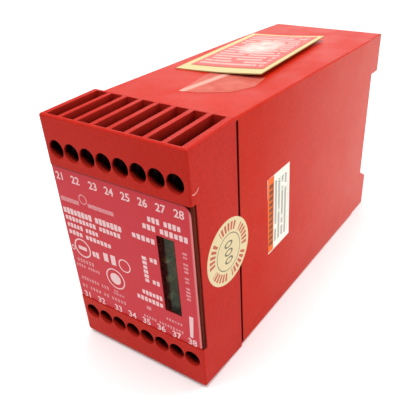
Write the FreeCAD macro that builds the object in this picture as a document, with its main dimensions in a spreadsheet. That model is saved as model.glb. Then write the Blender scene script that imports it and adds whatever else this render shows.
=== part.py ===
"""A safety relay in a moulded housing for a 35 mm rail.

Frame: X across the front, Y from the front face towards the rail, Z up.
The origin is the centre of the device's footprint, on the surface it stands on.
Every size is a cell of the sheet "sizes"; every piece is bound to those cells.
"""
import FreeCAD, Part
import os
import Sketcher

SIZES = (
    # the whole device
    ("body_width", 45.0),
    ("body_height", 72.0),
    ("body_depth", 120.0),
    ("edge_round", 0.6),
    ("overcut", 0.2),
    ("seat_gap", 0.1),
    # terminal ways, the same on the upper and the lower row
    ("way_count", 8),
    ("way_edge", 3.95),
    ("hole_inset", 9.7),
    # front cover
    ("cover_depth", 18.5),
    ("cover_taper", 1.0),
    ("cover_wall", 1.4),
    ("band_height", 14.4),
    ("band_front", 2.0),
    ("band_floor", 1.1),
    ("middle_wall", 1.2),
    ("recess_floor", 1.4),
    ("rib_depth", 6.0),
    ("rib_width", 1.4),
    ("slot_front_rim", 0.9),
    ("slot_rear_rim", 0.7),
    ("hole_land", 0.3),
    # front plate, its printed label and their window
    ("label_drop", 0.35),
    ("label_thick", 0.15),
    ("plate_thick", 1.2),
    ("plate_gap", 0.15),
    ("label_margin", 0.6),
    ("label_top_corner", 2.8),
    ("label_low_corner", 0.7),
    ("window_side", 9.0),
    ("window_width", 5.5),
    ("window_below", 12.8),
    ("window_above", 10.6),
    ("window_margin", 2.6),
    ("lug_side", 6.5),
    ("lug_width", 4.0),
    ("lug_height", 1.6),
    ("lug_inset", 2.4),
    ("lug_catch", 0.5),
    # rear housing
    ("housing_inset", 0.3),
    ("housing_wall", 1.6),
    ("seam_gap", 0.05),
    ("side_groove", 1.2),
    ("groove_depth", 1.0),
    ("groove_end", 0.8),
    ("tongue_thick", 1.2),
    ("tongue_reach", 5.0),
    ("tongue_root", 2.5),
    ("tongue_end", 2.5),
    ("bevel_across", 3.3),
    ("bevel_down", 2.4),
    ("rear_strip", 12.5),
    ("strip_step", 0.4),
    # rail seat at the back
    ("rail_height", 35.0),
    ("rail_lip", 1.0),
    ("rail_rise", 1.4),
    ("rail_play", 0.4),
    ("rail_grip", 3.0),
    ("foot_depth", 6.0),
    ("hook_root", 3.4),
    ("foot_shelf", 2.6),
    ("foot_slope", 3.7),
    ("hook_width", 26.0),
    ("hook_thick", 2.2),
    ("hook_back", 0.8),
    # sprung latch foot under the rail
    ("latch_width", 12.6),
    ("latch_neck", 8.4),
    ("latch_thick", 3.2),
    ("latch_gap", 0.2),
    ("latch_travel", 3.5),
    ("latch_seat", 0.8),
    ("nose_chamfer", 0.8),
    ("pry_width", 5.0),
    ("pry_low", 1.3),
    ("pry_height", 2.4),
    ("spring_window", 4.4),
    ("spring_window_low", 5.0),
    ("latch_bridge", 1.5),
    ("spring_peg", 1.8),
    ("spring_outer", 2.8),
    ("spring_wire", 0.4),
    ("spring_turns", 6),
    # terminal blocks
    ("block_front", 3.0),
    ("block_back", 18.4),
    ("bore_wall", 1.1),
    ("ledge_front", 8.4),
    ("ledge_thick", 1.0),
    ("shank_bore", 2.8),
    ("cage_room_back", 17.5),
    ("cage_room_floor", 3.05),
    # clamp screws
    ("head_play", 0.2),
    ("head_height", 1.75),
    ("thread_size", 2.5),
    ("shank_length", 4.8),
    ("driver_slot", 0.6),
    ("driver_slot_depth", 1.0),
    ("thread_play", 0.05),
    # rising clamp cages
    ("cage_play", 0.15),
    ("cage_height", 4.0),
    ("cage_length", 5.8),
    ("cage_nut", 1.2),
    ("cage_back", 0.8),
    ("cage_side", 0.6),
    ("cage_front", 11.6),
    # terminal bars
    ("bar_front", 13.4),
    ("bar_thick", 0.7),
    ("bar_play", 0.35),
    ("bar_reach", 1.9),
    ("bar_drop", 2.95),
    ("bar_end", 24.4),
    # boards
    ("board_thick", 1.6),
    ("board_edge", 0.25),
    ("terminal_board_front", 22.0),
    ("guide_rib", 1.0),
    ("guide_height", 1.3),
    ("side_board_gap", 1.4),
    ("side_board_end", 4.4),
    ("relay_side_gap", 2.0),
    ("supply_board_inset", 2.4),
    # display board and its lamps
    ("display_front", 6.4),
    ("display_thick", 1.2),
    ("display_side", 1.4),
    ("display_width", 15.0),
    ("display_below", 2.4),
    ("display_above", 5.6),
    ("lamp_size", 2.2),
    ("lamp_length", 2.3),
    ("lamp_side", 13.5),
    ("lamp_below", 12.5),
    ("lamp_pitch", 6.15),
    ("lamp_count", 3),
    # parts on the boards
    ("relay_width", 13.0),
    ("relay_height", 16.5),
    ("relay_length", 53.0),
    ("relay_front", 45.0),
    ("relay_spacing", 11.0),
    ("core_width", 16.0),
    ("core_height", 26.0),
    ("core_length", 30.0),
    ("core_front", 33.0),
    ("bobbin_margin", 3.0),
    ("bobbin_proud", 2.2),
    ("capacitor_count", 2),
    ("capacitor_size", 10.0),
    ("capacitor_length", 16.0),
    ("capacitor_end", 26.0),
    ("capacitor_spacing", 22.0),
    ("varistor_size", 9.0),
    ("varistor_thick", 3.6),
    ("varistor_end", 12.0),
    ("varistor_drop", 16.0),
    ("fuse_size", 5.2),
    ("fuse_length", 20.0),
    ("fuse_cap", 5.0),
    ("fuse_cap_proud", 0.3),
    ("fuse_end", 10.0),
    ("fuse_drop", 4.0),
    ("header_width", 2.5),
    ("header_height", 20.0),
    ("header_pin", 0.64),
    ("header_pins", 6),
    ("header_pitch", 2.54),
    # labels on the outside
    ("sticker_thick", 0.08),
    ("side_label_front", 34.6),
    ("side_label_width", 13.0),
    ("side_label_drop", 11.95),
    ("side_label_height", 25.1),
    ("side_label_turn", 1.9),
    ("seal_size", 18.8),
    ("seal_y", 13.4),
    ("seal_rise", 2.0),
    ("paper_thick", 0.12),
    ("backing_thick", 0.3),
    ("spare_front", 46.7),
    ("spare_x", -2.0),
    ("spare_turn", 4.9),
    ("spare_lift", 1.3),
    ("backing_width", 28.0),
    ("backing_length", 52.5),
    ("spare_width", 24.1),
    ("spare_length", 45.4),
    ("spare_left_border", 2.2),
    ("spare_front_border", 5.0),
    ("tape_front", 28.4),
    ("tape_length", 21.0),
    ("tape_x", 4.7),
    ("tape_width", 18.6),
    ("tape_skew", 3.0),
    ("tape_step", 5.5),
    ("tape_dip", 1.1),
    ("tape_chamfer", 12.6),
)

doc = FreeCAD.newDocument("safety_relay")
sheet = doc.addObject("Spreadsheet::Sheet", "sizes")
for line, (alias, value) in enumerate(SIZES, 1):
    sheet.set(f"A{line}", alias)
    sheet.set(f"B{line}", str(value))
    sheet.setAlias(f"B{line}", alias)
doc.recompute()

# planes and lines that several pieces share, as expressions of the sheet
HALF_WIDTH = "(sizes.body_width / 2)"
FRONT = "(-sizes.body_depth / 2)"
BACK = "(sizes.body_depth / 2)"
COVER_REAR = f"({FRONT} + sizes.cover_depth)"
LABEL_FRONT = f"({FRONT} + sizes.label_drop)"
PLATE_FRONT = f"({LABEL_FRONT} + sizes.label_thick)"
RECESS_FLOOR = f"({PLATE_FRONT} + sizes.plate_thick + sizes.plate_gap)"
MIDDLE = "(sizes.body_height / 2)"
RECESS_LOW = "sizes.band_height"
RECESS_HIGH = "(sizes.body_height - sizes.band_height)"
HOUSING_FRONT = f"({COVER_REAR} + sizes.seam_gap)"
HOUSING_HALF = f"({HALF_WIDTH} - sizes.housing_inset)"
HOUSING_LOW = "sizes.housing_inset"
HOUSING_HIGH = "(sizes.body_height - sizes.housing_inset)"
ROOM_HALF = f"({HOUSING_HALF} - sizes.housing_wall)"
ROOM_LOW = "(sizes.housing_inset + sizes.housing_wall)"
ROOM_HIGH = f"({HOUSING_HIGH} - sizes.housing_wall)"
RAIL_FACE = f"({BACK} - sizes.foot_depth)"
RAIL_TOP = f"({MIDDLE} + sizes.rail_rise + sizes.rail_height / 2)"
RAIL_BOTTOM = f"({MIDDLE} + sizes.rail_rise - sizes.rail_height / 2)"
UPPER_FOOT = f"({RAIL_TOP} + sizes.hook_root)"
LOWER_FOOT = f"({RAIL_BOTTOM} - sizes.foot_shelf)"
HOOK_INNER = f"({RAIL_FACE} + sizes.rail_lip + sizes.rail_play / 2)"
LATCH_FRONT = f"({RAIL_FACE} + sizes.latch_seat)"
LATCH_BACK = f"({LATCH_FRONT} + sizes.latch_thick)"
LATCH_BASE = "(sizes.housing_inset + sizes.latch_travel + sizes.latch_gap)"
LATCH_SHELF = f"({RAIL_BOTTOM} - sizes.rail_play)"
PEG_LOW = f"({LATCH_BASE} + sizes.spring_window_low + sizes.seat_gap)"
PEG_HIGH = f"({PEG_LOW} + sizes.spring_peg)"
SPRING_TOP = f"({LATCH_SHELF} - sizes.latch_bridge)"
BOARD_FRONT = f"({FRONT} + sizes.terminal_board_front)"
BOARD_BACK = f"({BOARD_FRONT} + sizes.board_thick)"
SIDE_FRONT = f"({BOARD_BACK} + sizes.side_board_gap)"
SIDE_BACK = f"({RAIL_FACE} - sizes.housing_wall - sizes.side_board_end)"
RELAY_BOARD = f"(-{ROOM_HALF} + sizes.relay_side_gap + sizes.relay_width)"
SUPPLY_BOARD = f"({ROOM_HALF} - sizes.supply_board_inset)"
DISPLAY_FRONT = f"({FRONT} + sizes.display_front)"
DISPLAY_BACK = f"({DISPLAY_FRONT} + sizes.display_thick)"

# the openings and pieces of one terminal way, all from the pitch of the ways
WAY_PITCH = "((sizes.body_width - 2 * sizes.way_edge) / (sizes.way_count - 1))"
SLOT_WIDTH = f"({WAY_PITCH} - sizes.rib_width)"
DRIVER_HOLE = f"({WAY_PITCH} - sizes.hole_land)"
WAY_BORE = f"({WAY_PITCH} - sizes.bore_wall)"
HEAD_SIZE = f"({WAY_BORE} - 2 * sizes.head_play)"
CAGE_WIDTH = f"({WAY_BORE} - 2 * sizes.cage_play)"
BAR_WIDTH = f"({CAGE_WIDTH} - 2 * sizes.cage_side - 2 * sizes.bar_play)"

# the window and what stands behind it
WINDOW_X = f"({HALF_WIDTH} - sizes.window_side)"
WINDOW_LOW = f"({MIDDLE} - sizes.window_below)"
WINDOW_HIGH = f"({MIDDLE} + sizes.window_above)"

# the two terminal rows: name, height of the screw axes, and which way is outward
ROWS = (
    ("upper", "(sizes.body_height - sizes.hole_inset)", 1),
    ("lower", "sizes.hole_inset", -1),
)


def number(expression):
    """The present value of an expression of the sheet."""
    value = sheet.evalExpression(expression)
    return float(getattr(value, "Value", value))


def way_x(way):
    """The place of one terminal way across the front."""
    return f"(({way} - (sizes.way_count - 1) / 2) * {WAY_PITCH})"


def outward(centre, sign, low, high):
    """A span measured outward from a row's screw axis, lowest end first."""
    if sign > 0:
        return f"{centre} + ({low})", f"{centre} + ({high})"
    return f"{centre} - ({high})", f"{centre} - ({low})"


# ---------------------------------------------------------------- primitives


def block(name, x_span, y_span, z_span):
    """A box between three pairs of expressions."""
    box = doc.addObject("Part::Box", name)
    for size, (low, high) in zip(("Length", "Width", "Height"), (x_span, y_span, z_span)):
        box.setExpression(size, f"({high}) - ({low})")
    for axis, (low, _) in zip("xyz", (x_span, y_span, z_span)):
        box.setExpression(f"Placement.Base.{axis}", low)
    return box


def about(middle, size):
    """A span of the given size about a middle."""
    return f"{middle} - ({size}) / 2", f"{middle} + ({size}) / 2"


def rod(name, axis, size, start, length, at=("0", "0")):
    """A cylinder along X, Y or Z, from start for length; at places its axis across."""
    cylinder = doc.addObject("Part::Cylinder", name)
    cylinder.setExpression("Radius", f"({size}) / 2")
    cylinder.setExpression("Height", length)
    turns = {"x": ((0, 1, 0), 90), "y": ((1, 0, 0), -90), "z": ((0, 0, 1), 0)}
    spin, angle = turns[axis]
    cylinder.Placement = FreeCAD.Placement(
        FreeCAD.Vector(), FreeCAD.Rotation(FreeCAD.Vector(*spin), angle)
    )
    places = dict(zip([letter for letter in "xyz" if letter != axis], at))
    places[axis] = start
    for letter, place in places.items():
        cylinder.setExpression(f"Placement.Base.{letter}", place)
    return cylinder


def fuse(name, shapes):
    """One solid from several."""
    node = doc.addObject("Part::MultiFuse", name)
    node.Shapes = shapes
    return node


def cut(name, base, tools):
    """A base with the tools taken out of it."""
    node = doc.addObject("Part::Cut", name)
    node.Base = base
    node.Tool = tools[0] if len(tools) == 1 else fuse(f"{name}_openings", tools)
    return node


def group(name, solids):
    """Several separate solids as one piece of the list."""
    node = doc.addObject("Part::Compound", name)
    node.Links = solids
    return node


def place(node, x="0", y="0", z="0"):
    """Bind where a piece made about its own origin stands."""
    for axis, where in zip("xyz", (x, y, z)):
        node.setExpression(f"Placement.Base.{axis}", where)
    return node


# ------------------------------------------------------- sketches and features


def sketch_on(body, name, role, offset="0"):
    """An empty sketch on one of the body's own origin planes, moved along its normal."""
    sketch = body.newObject("Sketcher::SketchObject", name)
    plane = next(item for item in body.Origin.OriginFeatures if item.Role == role)
    sketch.AttachmentSupport = [(plane, "")]
    sketch.MapMode = "FlatFace"
    sketch.setExpression("AttachmentOffset.Base.z", offset)
    return sketch


def pin_point(sketch, geometry, position, across, up):
    """Tie a point of the sketch to two expressions measured from its origin."""
    for kind, expression in (("DistanceX", across), ("DistanceY", up)):
        index = sketch.addConstraint(
            Sketcher.Constraint(kind, -1, 1, geometry, position, number(expression))
        )
        sketch.setExpression(f"Constraints[{index}]", expression)


def polygon(sketch, points):
    """A closed outline through points, each a pair of expressions."""
    spots = [FreeCAD.Vector(number(across), number(up), 0) for across, up in points]
    first = sketch.GeometryCount
    count = len(spots)
    for index in range(count):
        line = Part.LineSegment(spots[index], spots[(index + 1) % count])
        sketch.addGeometry(line, False)
    for index in range(count):
        follower = first + (index + 1) % count
        sketch.addConstraint(Sketcher.Constraint("Coincident", first + index, 2, follower, 1))
    for index, (across, up) in enumerate(points):
        pin_point(sketch, first + index, 1, across, up)
    return sketch


def rectangle(sketch, across, up):
    """A rectangle between two spans."""
    corners = ((across[0], up[0]), (across[1], up[0]), (across[1], up[1]), (across[0], up[1]))
    return polygon(sketch, corners)


def circle(sketch, across, up, size):
    """A circle by its centre and diameter."""
    centre = FreeCAD.Vector(number(across), number(up), 0)
    normal = FreeCAD.Vector(0, 0, 1)
    index = sketch.addGeometry(Part.Circle(centre, normal, number(size) / 2), False)
    pin_point(sketch, index, 3, across, up)
    bound = sketch.addConstraint(Sketcher.Constraint("Diameter", index, number(size)))
    sketch.setExpression(f"Constraints[{bound}]", size)
    return sketch


def pad(body, name, profile, length, symmetric=False, reverse=False):
    """Material from a profile."""
    feature = body.newObject("PartDesign::Pad", name)
    feature.Profile = profile
    feature.SideType = "Symmetric" if symmetric else "One side"
    feature.Reversed = reverse
    feature.setExpression("Length", length)
    body.Tip = feature
    doc.recompute()
    return feature


def pocket(body, name, profile, length, symmetric=False, reverse=False):
    """An opening from a profile; it has to take material away."""
    before = body.Tip.Shape.Volume
    feature = body.newObject("PartDesign::Pocket", name)
    feature.Profile = profile
    feature.SideType = "Symmetric" if symmetric else "One side"
    feature.Reversed = reverse
    feature.setExpression("Length", length)
    body.Tip = feature
    doc.recompute()
    if not feature.Shape.Volume < before:
        raise RuntimeError(f"{name} cuts nothing")
    return feature


def row_of(body, name, feature, profile):
    """Repeat a feature once for each terminal way."""
    pattern = body.newObject("PartDesign::LinearPattern", name)
    pattern.Originals = [feature]
    pattern.Direction = (profile, ["H_Axis"])
    pattern.Mode = "Spacing"
    pattern.setExpression("Offset", WAY_PITCH)
    pattern.setExpression("Occurrences", "sizes.way_count")
    body.Tip = pattern
    doc.recompute()
    return pattern


def round_edges(body, name, radius, wanted):
    """Round the edges of the body that a test picks out."""
    base = body.Tip
    numbered = enumerate(base.Shape.Edges, 1)
    edges = [f"Edge{index}" for index, edge in numbered if wanted(edge.BoundBox)]
    feature = body.newObject("PartDesign::Fillet", name)
    feature.Base = (base, edges)
    feature.setExpression("Radius", radius)
    body.Tip = feature
    doc.recompute()
    return feature


# ------------------------------------------------------------- moulded casing


def near(value, expression):
    """Whether a coordinate lies on the plane that an expression gives."""
    return abs(value - number(expression)) < number("sizes.overcut") / 2


def plate_lugs(gap):
    """The four lugs that hold the front plate, as spans across and up, grown by a gap."""
    spans = []
    for side in ("-", ""):
        across = about(f"{side}({HALF_WIDTH} - sizes.lug_side)", f"sizes.lug_width + 2 * {gap}")
        for middle in (f"({RECESS_LOW} + sizes.lug_inset)", f"({RECESS_HIGH} - sizes.lug_inset)"):
            spans.append((across, about(middle, f"sizes.lug_height + 2 * {gap}")))
    return spans


def front_cover():
    """The hood: a row of wire slots above and below, a recess for the plate between."""
    body = doc.addObject("PartDesign::Body", "front_cover")
    side = polygon(
        sketch_on(body, "HoodSide", "YZ_Plane"),
        (
            (FRONT, "sizes.cover_taper"),
            (COVER_REAR, "0"),
            (COVER_REAR, "sizes.body_height"),
            (FRONT, "sizes.body_height - sizes.cover_taper"),
        ),
    )
    pad(body, "Hood", side, "sizes.body_width", symmetric=True)
    round_edges(
        body,
        "HoodRounds",
        "sizes.edge_round",
        lambda box: near(box.YMin, FRONT) and (near(box.YMax, FRONT) or near(box.YMax, COVER_REAR)),
    )
    recess = rectangle(
        sketch_on(body, "RecessSide", "YZ_Plane"),
        (f"{FRONT} - sizes.overcut", RECESS_FLOOR),
        (RECESS_LOW, RECESS_HIGH),
    )
    pocket(body, "Recess", recess, "sizes.body_width + sizes.overcut", symmetric=True)

    inner = f"({HALF_WIDTH} - sizes.cover_wall)"
    rear = f"-({COVER_REAR})"
    middle = rectangle(
        sketch_on(body, "MiddleRoomOutline", "XZ_Plane", rear),
        (f"-{inner}", inner),
        (f"{RECESS_LOW} + sizes.middle_wall", f"{RECESS_HIGH} - sizes.middle_wall"),
    )
    depth = f"{COVER_REAR} - {RECESS_FLOOR} - sizes.recess_floor"
    pocket(body, "MiddleRoom", middle, depth, reverse=True)
    for row, centre, sign in ROWS:
        room = rectangle(
            sketch_on(body, f"{row}_room_outline", "XZ_Plane", rear),
            (f"-{inner}", inner),
            outward(
                centre,
                sign,
                "sizes.hole_inset + sizes.band_floor - sizes.band_height",
                "sizes.hole_inset - sizes.rib_depth",
            ),
        )
        pocket(body, f"{row}_room", room, "sizes.cover_depth - sizes.band_front", reverse=True)

        face = "sizes.body_height" if sign > 0 else "0"
        slot = rectangle(
            sketch_on(body, f"{row}_wire_slot_outline", "XY_Plane", face),
            about(way_x(0), SLOT_WIDTH),
            (f"{FRONT} + sizes.slot_front_rim", f"{COVER_REAR} - sizes.slot_rear_rim"),
        )
        first_slot = pocket(
            body, f"{row}_wire_slot", slot, "sizes.rib_depth + sizes.overcut", reverse=sign < 0
        )
        row_of(body, f"{row}_wire_slots", first_slot, slot)

        hole = circle(
            sketch_on(body, f"{row}_driver_hole_outline", "XZ_Plane", f"-{FRONT}"),
            way_x(0),
            centre,
            DRIVER_HOLE,
        )
        first_hole = pocket(
            body, f"{row}_driver_hole", hole, "sizes.band_front + sizes.overcut"
        )
        row_of(body, f"{row}_driver_holes", first_hole, hole)

    light = rectangle(
        sketch_on(body, "FloorOpeningsOutline", "XZ_Plane", f"-({RECESS_FLOOR} - sizes.overcut)"),
        about(WINDOW_X, "sizes.window_width + 2 * sizes.window_margin"),
        (f"{WINDOW_LOW} - sizes.window_margin", f"{WINDOW_HIGH} + sizes.window_margin"),
    )
    for across, up in plate_lugs("sizes.plate_gap"):
        rectangle(light, across, up)
    pocket(body, "FloorOpenings", light, "sizes.recess_floor + 2 * sizes.overcut")
    return body


def rear_housing():
    """The deep case: open to the front, with the rail seat moulded on its back."""
    body = doc.addObject("PartDesign::Body", "rear_housing")
    side = polygon(
        sketch_on(body, "CaseSide", "YZ_Plane"),
        (
            (HOUSING_FRONT, HOUSING_LOW),
            (BACK, HOUSING_LOW),
            (BACK, f"{LOWER_FOOT} - sizes.foot_slope"),
            (RAIL_FACE, LOWER_FOOT),
            (RAIL_FACE, UPPER_FOOT),
            (BACK, UPPER_FOOT),
            (BACK, HOUSING_HIGH),
            (HOUSING_FRONT, HOUSING_HIGH),
        ),
    )
    pad(body, "Case", side, f"2 * {HOUSING_HALF}", symmetric=True)
    round_edges(
        body,
        "CaseRounds",
        "sizes.edge_round",
        lambda box: near(box.YMin, HOUSING_FRONT) and near(box.YMax, BACK),
    )

    # the left upper corner is bevelled at the seam and the bevel runs out towards the back
    corner = (f"-{HOUSING_HALF} - sizes.overcut", f"{HOUSING_HIGH} + sizes.overcut")
    bevel_outline = polygon(
        sketch_on(body, "BevelOutline", "XZ_Plane", f"-({HOUSING_FRONT})"),
        (
            corner,
            (corner[0], f"{HOUSING_HIGH} - sizes.bevel_down"),
            (f"-{HALF_WIDTH} + sizes.bevel_across", corner[1]),
        ),
    )
    run = f"({BACK} - {HOUSING_FRONT})"
    bevel = pocket(body, "Bevel", bevel_outline, run)
    bevel.UseCustomVector = True
    bevel.setExpression("Direction.x", "-sizes.bevel_across / 2")
    bevel.setExpression("Direction.y", run)
    bevel.setExpression("Direction.z", "sizes.bevel_down / 2")
    doc.recompute()

    front = f"-({HOUSING_FRONT})"
    room = rectangle(
        sketch_on(body, "RoomOutline", "XZ_Plane", front),
        (f"-{ROOM_HALF}", ROOM_HALF),
        (ROOM_LOW, ROOM_HIGH),
    )
    pocket(body, "Room", room, f"{RAIL_FACE} - sizes.housing_wall - {HOUSING_FRONT}")

    # a shadow groove down each side of the seam, closed at the top and the bottom
    groove = sketch_on(body, "GrooveOutline", "XZ_Plane", front)
    strip = sketch_on(body, "StripOutline", "XZ_Plane", f"-{BACK}")
    beyond = f"{HOUSING_HALF} + sizes.overcut"
    for sign in ("-", ""):
        spans = {}
        for name, depth in (("groove", "sizes.groove_depth"), ("strip", "sizes.strip_step")):
            ends = (f"{HOUSING_HALF} - {depth}", beyond)
            spans[name] = tuple(f"-({end})" for end in reversed(ends)) if sign else ends
        rectangle(
            groove,
            spans["groove"],
            (f"{HOUSING_LOW} + sizes.groove_end", f"{HOUSING_HIGH} - sizes.groove_end"),
        )
        rectangle(
            strip,
            spans["strip"],
            (f"{HOUSING_LOW} - sizes.overcut", f"{HOUSING_HIGH} + sizes.overcut"),
        )
    pocket(body, "SideGroove", groove, "sizes.side_groove")
    pocket(body, "RearStrip", strip, "sizes.rear_strip", reverse=True)

    # tongues that reach into the hood
    tongue_outer = f"({HALF_WIDTH} - sizes.cover_wall - sizes.seat_gap)"
    tongues = sketch_on(body, "TongueOutline", "XZ_Plane", f"{front} - sizes.tongue_root")
    tongue_up = (f"{RECESS_LOW} + sizes.tongue_end", f"{RECESS_HIGH} - sizes.tongue_end")
    rectangle(tongues, (f"-{tongue_outer}", f"-({tongue_outer} - sizes.tongue_thick)"), tongue_up)
    rectangle(tongues, (f"{tongue_outer} - sizes.tongue_thick", tongue_outer), tongue_up)
    pad(body, "Tongues", tongues, "sizes.tongue_reach + sizes.tongue_root")

    # guide ribs for the two side boards, along the roof and the floor
    back_wall = f"-({RAIL_FACE} - sizes.housing_wall)"
    ribs = sketch_on(body, "GuideOutline", "XZ_Plane", back_wall)
    for board in (RELAY_BOARD, SUPPLY_BOARD):
        low_side = f"{board} - sizes.seat_gap"
        high_side = f"{board} + sizes.board_thick + sizes.seat_gap"
        left_rib = (f"{low_side} - sizes.guide_rib", low_side)
        right_rib = (high_side, f"{high_side} + sizes.guide_rib")
        for across in (left_rib, right_rib):
            rectangle(ribs, across, (ROOM_LOW, f"{ROOM_LOW} + sizes.guide_height"))
            rectangle(ribs, across, (f"{ROOM_HIGH} - sizes.guide_height", ROOM_HIGH))
    pad(body, "Guides", ribs, f"{RAIL_FACE} - sizes.housing_wall - {BOARD_BACK}")

    # the fixed hook over the rail's upper edge
    hook_root = f"({RAIL_TOP} + sizes.rail_play)"
    hook_tip = f"({RAIL_TOP} - sizes.rail_grip)"
    hook_back = f"({HOOK_INNER} + sizes.hook_thick)"
    hook = polygon(
        sketch_on(body, "HookSide", "YZ_Plane"),
        (
            (f"{RAIL_FACE} - sizes.overcut", hook_root),
            (HOOK_INNER, hook_root),
            (HOOK_INNER, hook_tip),
            (f"{hook_back} - sizes.hook_back", hook_tip),
            (hook_back, f"{hook_tip} + 2 * sizes.hook_back"),
            (hook_back, f"{UPPER_FOOT} + sizes.overcut"),
            (f"{RAIL_FACE} - sizes.overcut", f"{UPPER_FOOT} + sizes.overcut"),
        ),
    )
    pad(body, "Hook", hook, "sizes.hook_width", symmetric=True)

    # the latch's channel in the lower foot, with a narrower mouth to the back
    foot = (f"{HOUSING_LOW} - sizes.overcut", f"{LOWER_FOOT} + sizes.overcut")
    for name, width, deep in (
        ("Channel", "sizes.latch_width + 2 * sizes.latch_gap", f"{LATCH_BACK} + sizes.latch_gap"),
        ("ChannelMouth", "sizes.latch_neck", f"{BACK} + sizes.overcut"),
    ):
        outline = rectangle(
            sketch_on(body, f"{name}Outline", "XY_Plane", foot[0]),
            about("0", width),
            (f"{LATCH_FRONT} - sizes.latch_gap", deep),
        )
        pocket(body, name, outline, f"{foot[1]} - ({foot[0]})", reverse=True)
    peg = rectangle(
        sketch_on(body, "PegOutline", "XZ_Plane", f"-({LATCH_FRONT} - sizes.latch_gap - sizes.overcut)"),
        about("0", "sizes.spring_window - 2 * sizes.latch_gap"),
        (PEG_LOW, PEG_HIGH),
    )
    pad(body, "SpringPeg", peg, "sizes.latch_thick + sizes.latch_gap", reverse=True)
    return body


def front_plate():
    """The smoked plate across the full width, with four lugs that snap through the recess."""
    gap = "sizes.plate_gap"
    back = f"({PLATE_FRONT} + sizes.plate_thick)"
    floor_back = f"({RECESS_FLOOR} + sizes.recess_floor + {gap})"
    catch = "sizes.lug_catch"
    plate = block(
        "plate_sheet",
        (f"-{HALF_WIDTH} + {gap}", f"{HALF_WIDTH} - {gap}"),
        (PLATE_FRONT, back),
        (f"{RECESS_LOW} + {gap}", f"{RECESS_HIGH} - {gap}"),
    )
    lugs = []
    tip = f"{floor_back} + {catch}"
    for index, (across, (low, high)) in enumerate(plate_lugs("0")):
        caught = (low, f"{high} + {catch}") if index % 2 == 0 else (f"{low} - {catch}", high)
        lugs.append(block(f"plate_lug_{index + 1}", across, (back, tip), (low, high)))
        lugs.append(block(f"plate_catch_{index + 1}", across, (floor_back, tip), caught))
    return fuse("front_plate", [plate, *lugs])


def front_label():
    """The printed film on the plate, with rounded corners and a clear window cut in it."""
    body = doc.addObject("PartDesign::Body", "front_label")
    gap = "sizes.plate_gap"
    outline = rectangle(
        sketch_on(body, "FilmOutline", "XZ_Plane", f"-({PLATE_FRONT})"),
        (f"-{HALF_WIDTH} + {gap}", f"{HALF_WIDTH} - sizes.label_margin"),
        (f"{RECESS_LOW} + {gap}", f"{RECESS_HIGH} - {gap}"),
    )
    pad(body, "Film", outline, "sizes.label_thick")
    side = f"{HALF_WIDTH} - sizes.label_margin"
    for name, radius, height in (
        ("FilmTopCorner", "sizes.label_top_corner", f"{RECESS_HIGH} - {gap}"),
        ("FilmLowCorner", "sizes.label_low_corner", f"{RECESS_LOW} + {gap}"),
    ):
        round_edges(
            body,
            name,
            radius,
            lambda box: near(box.XMin, side) and near(box.ZMin, height) and near(box.ZMax, height),
        )
    window = rectangle(
        sketch_on(body, "WindowOutline", "XZ_Plane", f"-({LABEL_FRONT} - sizes.overcut)"),
        about(WINDOW_X, "sizes.window_width"),
        (WINDOW_LOW, WINDOW_HIGH),
    )
    pocket(body, "Window", window, "sizes.label_thick + 2 * sizes.overcut")
    return body


# -------------------------------------------------------------- rail fastening


def latch_foot():
    """The sliding foot whose nose holds the rail's lower edge."""
    body = doc.addObject("PartDesign::Body", "latch_foot")
    nose_tip = f"({RAIL_BOTTOM} + sizes.rail_grip)"
    side = polygon(
        sketch_on(body, "LatchSide", "YZ_Plane"),
        (
            (LATCH_FRONT, LATCH_BASE),
            (LATCH_BACK, LATCH_BASE),
            (LATCH_BACK, f"{nose_tip} - 2 * sizes.nose_chamfer"),
            (f"{LATCH_BACK} - sizes.nose_chamfer", nose_tip),
            (HOOK_INNER, nose_tip),
            (HOOK_INNER, LATCH_SHELF),
            (LATCH_FRONT, LATCH_SHELF),
        ),
    )
    pad(body, "Latch", side, "sizes.latch_width", symmetric=True)
    pry_low = f"({LATCH_BASE} + sizes.pry_low)"
    openings = rectangle(
        sketch_on(body, "LatchOpenings", "XZ_Plane", f"-({LATCH_FRONT} - sizes.overcut)"),
        about("0", "sizes.pry_width"),
        (pry_low, f"{pry_low} + sizes.pry_height"),
    )
    rectangle(
        openings,
        about("0", "sizes.spring_window"),
        (f"{LATCH_BASE} + sizes.spring_window_low", SPRING_TOP),
    )
    pocket(body, "LatchWindows", openings, "sizes.latch_thick + 2 * sizes.overcut")
    return body


def latch_spring():
    """The coil spring between the housing's peg and the top of the latch's window."""
    wire = number("sizes.spring_wire")
    low = number(PEG_HIGH) + wire / 2 + number("sizes.seat_gap") / 2
    high = number(SPRING_TOP) - wire / 2 - number("sizes.seat_gap") / 2
    radius = (number("sizes.spring_outer") - wire) / 2
    pitch = (high - low) / number("sizes.spring_turns")
    path = Part.Wire(Part.makeHelix(pitch, high - low, radius))
    start = path.Vertexes[0].Point
    section = Part.Wire(Part.makeCircle(wire / 2, start, FreeCAD.Vector(0, 1, 0)))
    node = doc.addObject("Part::Feature", "latch_spring")
    node.Shape = path.makePipeShell([section], True, True)
    middle = number(LATCH_FRONT) + number("sizes.latch_thick") / 2
    node.Placement = FreeCAD.Placement(FreeCAD.Vector(0, middle, low), FreeCAD.Rotation())
    return node


# ------------------------------------------------------------------- terminals


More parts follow.
